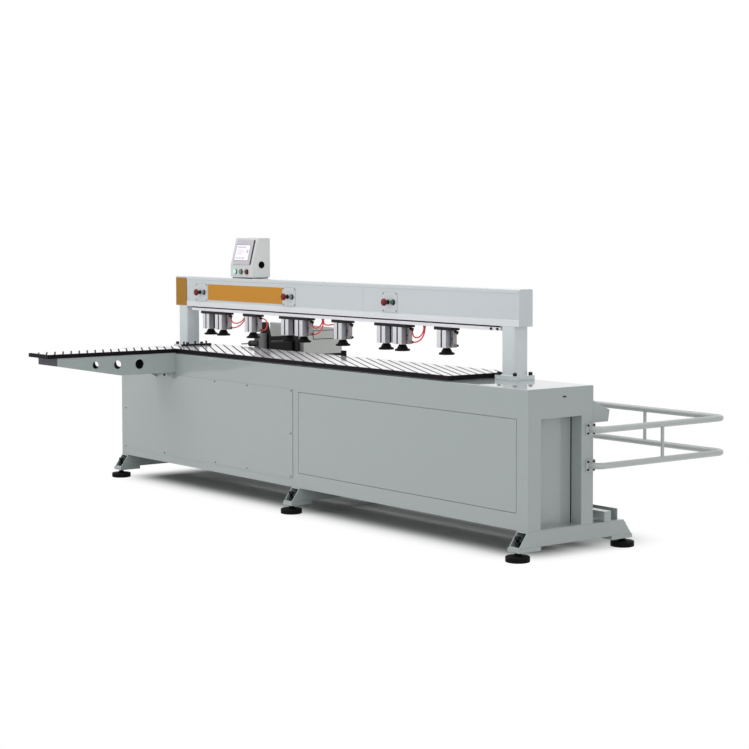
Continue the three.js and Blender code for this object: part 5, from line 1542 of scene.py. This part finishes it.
@dataclass
class GuardRail(Builder):
    """The tubular guard rail with its flanges and struts."""

    high: float = 643.0
    low: float = 455.0
    radius: float = 17.0
    strut_radius: float = 9.5
    rear: float = 1400.0
    outward: float = 60.0
    joint: float = 130.0
    joint_gap: float = 0.3
    length: float = 4050.0
    flange_setback: float = 433.0
    flange_half: float = 31.0
    flange_thickness: float = 6.0
    bends: Pair = (48.0, 62.0)
    screw_spread: float = 21.0
    strut_insets: tuple[float, ...] = (541.0, 1530.3, 2519.7, 3509.0)
    side_strut: float = 907.0
    tube_overlap: float = 1.0
    flange_edge: float = 1.0
    screw_size: Pair = (5.5, 6.5)

    def build(self) -> None:
        """Models both sides and the run behind."""
        self._side("guard_rail_right", 0.0, -1)
        self._side("guard_rail_left", self.length, 1)
        ends = (self.length - self.joint - self.joint_gap, self.joint + self.joint_gap)
        pieces = [self.shop.tube("run", [spot(inset, self.rear, height) for inset in ends], [], self.radius * MM)
                  for height in (self.high, self.low)]
        pieces += [self._strut(inset, self.rear) for inset in self.strut_insets]
        self._hand_over("guard_rail_rear", pieces)

    def _strut(self, inset: float, setback: float) -> Piece:
        """An upright between the two tubes."""
        ends = [spot(inset, setback, height) for height in (self.low, self.high)]
        return self.shop.tube("strut", ends, [], self.strut_radius * MM)

    def _side(self, node: str, end: float, outward: int) -> None:
        """One side: two tubes with flanges and black screws.

        Args:
            node: CAD node that it stands for.
            end: Inset of the cabinet's end.
            outward: Sign of the inset that leads away from the cabinet.
        """
        pieces = []
        side, joint = end + outward * self.outward, end - outward * self.joint
        direction = RIGHTWARD if outward < 0 else LEFTWARD
        for height in (self.high, self.low):
            corners = [spot(end + outward * (self.flange_thickness - self.tube_overlap), self.flange_setback, height),
                       spot(side, self.flange_setback, height), spot(side, self.rear, height),
                       spot(joint, self.rear, height)]
            pieces.append(self.shop.tube("tube", corners, [bend * MM for bend in self.bends], self.radius * MM))
            reach = self.flange_half
            near = spot(end + outward * self.joint_gap, self.flange_setback - reach, height - reach)
            far = spot(end + outward * self.flange_thickness, self.flange_setback + reach, height + reach)
            low, high = Vector(map(min, near, far)), Vector(map(max, near, far))
            pieces.append(self.shop.block("flange", low, high, self.flange_edge))
            for along, up in four(self.screw_spread, self.screw_spread):
                foot = spot(end + outward * self.flange_thickness, self.flange_setback + along, height + up)
                pieces.append(self.shop.screw("screw", foot, direction, *self.screw_size))
        pieces.append(self._strut(side, self.side_strut))
        self._hand_over(node, pieces)

    def _hand_over(self, node: str, pieces: Sequence[Piece]) -> None:
        """Paints the tubes and flanges, joins the pieces and hands them over.

        Args:
            node: Name of the CAD node that they stand for.
            pieces: The tubes and flanges.
        """
        for piece in pieces:
            if not piece.data.materials:
                self.shop.paint(piece, TUBE_PAINT)
        self.shop.deliver_joined(f"{node}_body", pieces, TUBE_PAINT, "frame", [node])


@dataclass
class Controls(Builder):
    """Button stations, control box, screen and gland."""

    stations: int = 3
    green_station: int = 3
    plate_shift: float = 14.0
    plate_half_width: float = 68.0
    plate_half_height: float = 57.0
    plate_corner: float = 7.0
    plate_thickness: float = 1.6
    plate_gap: float = 0.3
    rim_width: float = 1.6
    rim_thickness: float = 0.8
    screw_sideways: float = 60.0
    screw_up: float = 49.0
    screw_size: Pair = (3.8, 1.8)
    beam_step: float = 2.0
    cap_foot: float = 26.8
    housing_edge: float = 1.6
    stop_collar: Outline = ((14.5, 0), (14.5, 1.6), (13.0, 3.0), (9.2, 3.0), (9.2, 0.2))
    start_collar: Outline = ((17.0, 0), (17.0, 1.6), (15.5, 3.0), (9.2, 3.0), (9.2, 0.2))
    stop_cap: Outline = ((7.9, -14), (7.9, 12), (11, 12), (11, 26.5), (18.7, 27), (21, 28.5), (21.6, 30.5),
                         (21.6, 36), (20.6, 39), (17.5, 42), (12, 44), (6, 44.8), (0.5, 45))
    start_cap: Outline = ((7.9, -14), (7.9, 10.6), (12.6, 10.6), (13, 11.2), (13, 15.4), (12, 17.2), (10.8, 17.6),
                          (10.4, 16.8), (9.6, 16.6), (4, 17.2), (0.5, 17.4))
    box_ring: Outline = ((17, 0), (17, 2.0), (15.8, 3.0), (8.6, 3.0), (8.6, 0.2))
    box_cap: Outline = ((7.9, -14), (7.9, 7.8), (14.4, 7.8), (15, 8.4), (15, 10), (14, 11.4), (12, 11.6),
                        (11.6, 10.8), (0.5, 11.1))
    gland: Outline = ((22, 0.0), (22, 2.5), (20.5, 4), (14, 4), (13, 3), (13, 0.8), (1, 0.8))
    gland_setback: float = 71.0
    gland_height: float = 87.0
    foot_shade_height: float = 3.2
    lean_setback: float = 46.0
    lean_low: float = 79.0
    lean_high: float = 259.0
    screen_parts: tuple[tuple[str, Triple, Triple, Finish, float], ...] = (
        ("screen_bezel", (-99.4, -86.0, -1.6), (99.4, 78.4, 5.0), BEZEL, 2.2),
        # The dark block along the bezel's right side is painted shade on that side.
        ("screen_side_shade", (95.5, -85.0, -1.0), (102.5, 77.5, 5.6), DARK_GREY, 0.6),
        ("screen_rim", (-91.0, -60.0, 4.0), (69.0, 47.0, 5.6), GREY, 0.5),
        ("screen_glass", (-88.0, -57.0, 4.0), (66.0, 44.0, 6.0), SCREEN, 0.5))
    mark_depth: Pair = (5.9, 6.15)
    screen_marks: tuple[tuple[float, float, float, float], ...] = (
        (-76, 26, 20, 34), (-70, 8, -14, 12), (-70, -4, 14, 0), (-70, -16, -14, -12), (34, -8, 56, 12),
        (-76, -48, -50, -38), (-40, -48, -14, -38), (-4, -48, 24, -38))

    def build(self) -> None:
        """Models the stations on the beam, then the box."""
        for index in range(1, self.stations + 1):
            self._station(index)
        self._box()

    def _station(self, index: int) -> None:
        """A rimmed plate with four screws, an emergency stop and a push button.

        Args:
            index: Number of the station, from the left.
        """
        shop = self.shop
        stop, start = middle_of(f"emergency_stop_{index}"), middle_of(f"start_button_{index}")
        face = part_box("press_beam")[0].y + self.beam_step * MM
        front = face - (self.plate_thickness + self.plate_gap) * MM
        middle = Vector((stop.x + self.plate_shift * MM, face, stop.z))
        for name, grow, thickness, finish in (("plate", 0.0, self.plate_thickness, PLATE),
                                              ("rim", self.rim_width, self.rim_thickness, RIM)):
            plate = shop.plate(f"station_{name}_{index}", middle, self.plate_half_width + grow,
                               self.plate_half_height + grow, self.plate_gap, thickness, self.plate_corner + grow)
            shop.deliver(plate, finish, "frame")
        screws = [shop.screw("screw", Vector((middle.x + along * MM, front, middle.z + up * MM)), FORWARD,
                             *self.screw_size) for along, up in four(self.screw_sideways, self.screw_up)]
        shop.deliver(shop.merge(f"station_screws_{index}", screws), SCREW, "frame")
        for name, place, outline in (("stop_collar", stop, self.stop_collar),
                                     ("start_collar", start, self.start_collar)):
            ring = shop.turned(f"{name}_{index}", outline, Vector((place.x, front, place.z)), FORWARD, segments=40)
            shop.deliver(ring, DARK_GREY, "frame")
        cap = shop.turned(f"emergency_stop_{index}_cap", self.stop_cap, Vector((stop.x, face, stop.z)), FORWARD,
                          segments=56, crease=30)
        shop.deliver(cap, RED, f"stop_{index}", [f"emergency_stop_{index}"])
        shop.paint(cap, DARK_GREY, lambda center, normal: center.y > face - self.cap_foot * MM)
        button = shop.turned(f"start_button_{index}_cap", self.start_cap, Vector((start.x, face, start.z)), FORWARD,
                             segments=48, crease=30)
        finish = GREEN if index == self.green_station else GREY
        shop.deliver(button, finish, f"start_{index}", [f"start_button_{index}"])

    def _box(self) -> None:
        """Housing with a sloping screen, three buttons and a gland on its side."""
        shop = self.shop
        low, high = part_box("control_box")
        housing = self.refined("control_box", BOX_PAINT, edge=self.housing_edge)
        # The housing's lowest faces are painted dark: painted shade of the gap under the box.
        shop.paint(housing, DARK_GREY, lambda center, normal: center.z < low.z + self.foot_shade_height * MM)
        lean = math.atan2(self.lean_setback, self.lean_high - self.lean_low)
        middle = Vector(((low.x + high.x) / 2, low.y + self.lean_setback / 2 * MM,
                         low.z + (self.lean_low + self.lean_high) / 2 * MM))
        turn = Matrix.Translation(middle) @ Matrix.Rotation(math.pi / 2 - lean, 4, "X")
        for name, near, far, finish, edge in self.screen_parts:
            piece = shop.block(name, Vector(near) * MM, Vector(far) * MM, edge)
            piece.data.transform(turn)
            shop.deliver(piece, finish, "frame")
        marks = []
        back, front = self.mark_depth
        for left, bottom, right, top in self.screen_marks:
            mark = shop.block("mark", Vector((left, bottom, back)) * MM, Vector((right, top, front)) * MM, 0)
            mark.data.transform(turn)
            marks.append(mark)
        shop.deliver(shop.merge("screen_marks", marks), SCREEN_MARK, "frame")
        foot = Vector((high.x, low.y + self.gland_setback * MM, low.z + self.gland_height * MM))
        shop.deliver(shop.turned("box_gland", self.gland, foot, RIGHTWARD), BLACK_AND_SHADE, "frame")
        for colour, ring, finish in (("green", GREEN, GREEN_LENS), ("grey", DARK_GREY, GREY),
                                     ("red", DARK_GREY, DARK_RED)):
            self._box_button(colour, ring, finish)

    def _box_button(self, colour: str, ring: Finish, finish: Finish) -> None:
        """A push button in its ring.

        Args:
            colour: Colour in the node's name.
            ring: Finish of its ring.
            finish: Finish of its cap.
        """
        node = f"box_button_{colour}"
        middle = middle_of(node)
        place = Vector((middle.x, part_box("control_box")[0].y, middle.z))
        self.shop.deliver(self.shop.turned(f"{node}_ring", self.box_ring, place, FORWARD, segments=40), ring, "frame")
        cap = self.shop.turned(f"{node}_cap", self.box_cap, place, FORWARD, segments=40, crease=30)
        self.shop.deliver(cap, finish, f"key_{colour}", [node])


@dataclass
class Head(Builder):
    """Rail bed, carriage, cover, drive and spindle."""

    chuck_setback: float = 62.0
    chuck_outline: Outline = ((6, 0), (11, 0), (12.5, 1.5), (19.5, 9), (20.5, 10), (20.5, 15), (18, 15.6),
                              (18, 18.4), (20.5, 19), (20.5, 26), (18, 26.6), (18, 29.4), (20.5, 30), (20.5, 37),
                              (18, 37.6), (18, 40.4), (20.5, 41), (20.5, 49), (19.5, 50), (14, 50), (14, 63),
                              (11, 63), (11, 121), (2, 121))
    drill_root: float = 4.0
    drill_length: float = 66.0
    drill_radius: float = 5.0
    drill_steps: int = 60
    drill_sides: int = 24
    drill_turns: float = 2.2
    flute_depth: float = 0.64
    flute_power: float = 0.8
    point_length: float = 6.0
    point_share: float = 0.12
    frame_middle: Pair = (1098.5, 955.5)
    frame_size: Pair = (174.0, 61.0)
    frame_sink: float = 0.2
    frame_corner: float = 4.0
    frame_parts: tuple[tuple[str, float, float, Finish], ...] = (
        ("cover_rim", 0.0, 0.9, BLACK_AND_SHADE), ("cover_plate", -4.0, 1.3, COVER_PAINT))
    rail_back: float = 14.0
    bed_edge: float = 0.6
    cover_edge: float = 1.5
    block_edge: float = 1.0

    def build(self) -> None:
        """Models the bed, the carriage and what it carries."""
        shop = self.shop
        bed = self.refined("rail_bed", BED_STEEL, edge=self.bed_edge)
        rail_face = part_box("rail_bed")[0].y + self.rail_back * MM
        shop.paint(bed, GROUND_STEEL, lambda middle, normal: middle.y > rail_face)
        self.refined("carriage", BLACK, "carriage")
        self.refined("carriage_cover", COVER_PAINT, "carriage", edge=self.cover_edge)
        self._blank_frame()
        self.refined("drive_unit", BLACK, "feed_slide")
        self.refined("spindle_block", CASTING, "feed_slide", edge=self.block_edge)
        self._chuck()

    def _blank_frame(self) -> None:
        """The bare framed plate on the cover's right side."""
        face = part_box("carriage_cover")[1].x
        width, height = self.frame_size
        setback, up = self.frame_middle
        place = Matrix.Translation((face, spot(0, setback, 0).y, up * MM)) @ Matrix.Rotation(math.pi / 2, 4, "Z")
        for name, grow, depth, finish in self.frame_parts:
            plate = self.shop.plate(name, Vector(), width / 2 + grow, height / 2 + grow, -self.frame_sink, depth,
                                    self.frame_corner)
            plate.data.transform(place)
            self.shop.deliver(plate, finish, "carriage")

    def _chuck(self) -> None:
        """Chuck, shaft and twist drill."""
        shop = self.shop
        low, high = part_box("drill_chuck")
        front = Vector(((low.x + high.x) / 2, low.y + self.chuck_setback * MM, (low.z + high.z) / 2))
        chuck = shop.paint(shop.turned("chuck", self.chuck_outline, front, BACKWARD, segments=56, crease=30),
                           CHUCK_STEEL)
        drill = shop.paint(self._drill(front + Vector((0, self.drill_root * MM, 0))), DRILL_STEEL)
        shop.deliver_joined("drill_chuck_body", [chuck, drill], STEEL, "spindle", ["drill_chuck"])

    def _drill(self, root: Vector) -> Piece:
        """A twist drill, drawn out in short turned steps towards its point.

        Args:
            root: Middle of its root in metres.

        Returns:
            The drill.
        """
        self.shop.clear()
        bpy.ops.mesh.primitive_circle_add(vertices=self.drill_sides, radius=self.drill_radius * MM, fill_type="NGON")
        drill = bpy.context.object
        for vertex in drill.data.vertices:
            angle = math.atan2(vertex.co.y, vertex.co.x)
            vertex.co *= 1 - self.flute_depth * abs(math.sin(angle)) ** self.flute_power
        self.shop.edit(drill)
        step_length = self.drill_length / self.drill_steps
        for step in range(self.drill_steps):
            bpy.ops.mesh.extrude_region_move(TRANSFORM_OT_translate={"value": (0, 0, step_length * MM)})
            bpy.ops.transform.rotate(value=self.drill_turns * 2 * math.pi / self.drill_steps, orient_axis="Z",
                                     center_override=(0, 0, 0))
            left = self.drill_length - (step + 1) * step_length
            if left < self.point_length:
                before = min(1.0, (left + step_length) / self.point_length)
                share = max(self.point_share, left / self.point_length) / max(self.point_share, before)
                bpy.ops.transform.resize(value=(share, share, 1), center_override=(0, 0, 0))
        bpy.ops.mesh.select_all(action="SELECT")
        bpy.ops.mesh.normals_make_consistent(inside=False)
        self.shop.close()
        self.shop.stand(drill, root, FORWARD)
        self.shop.smooth(drill)
        return drill


def write_sizes() -> None:
    """Updates the view layer."""
    bpy.context.view_layer.update()


def main() -> None:
    """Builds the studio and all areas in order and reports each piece."""
    logging.basicConfig(level=logging.INFO, format="%(name)s: %(message)s")
    Studio().build()
    shop = Workshop(FinishLibrary())
    for area in (Hoses, Cabinet, Table, Gantry, Pressers, GuardRail, Controls, Head):
        done = len(shop.delivered)
        area(shop).build()
        for piece in shop.delivered[done:]:
            LOG.info("%s made %s", area.__name__, piece.name)
    write_sizes()


if __name__ == "__main__":
    main()
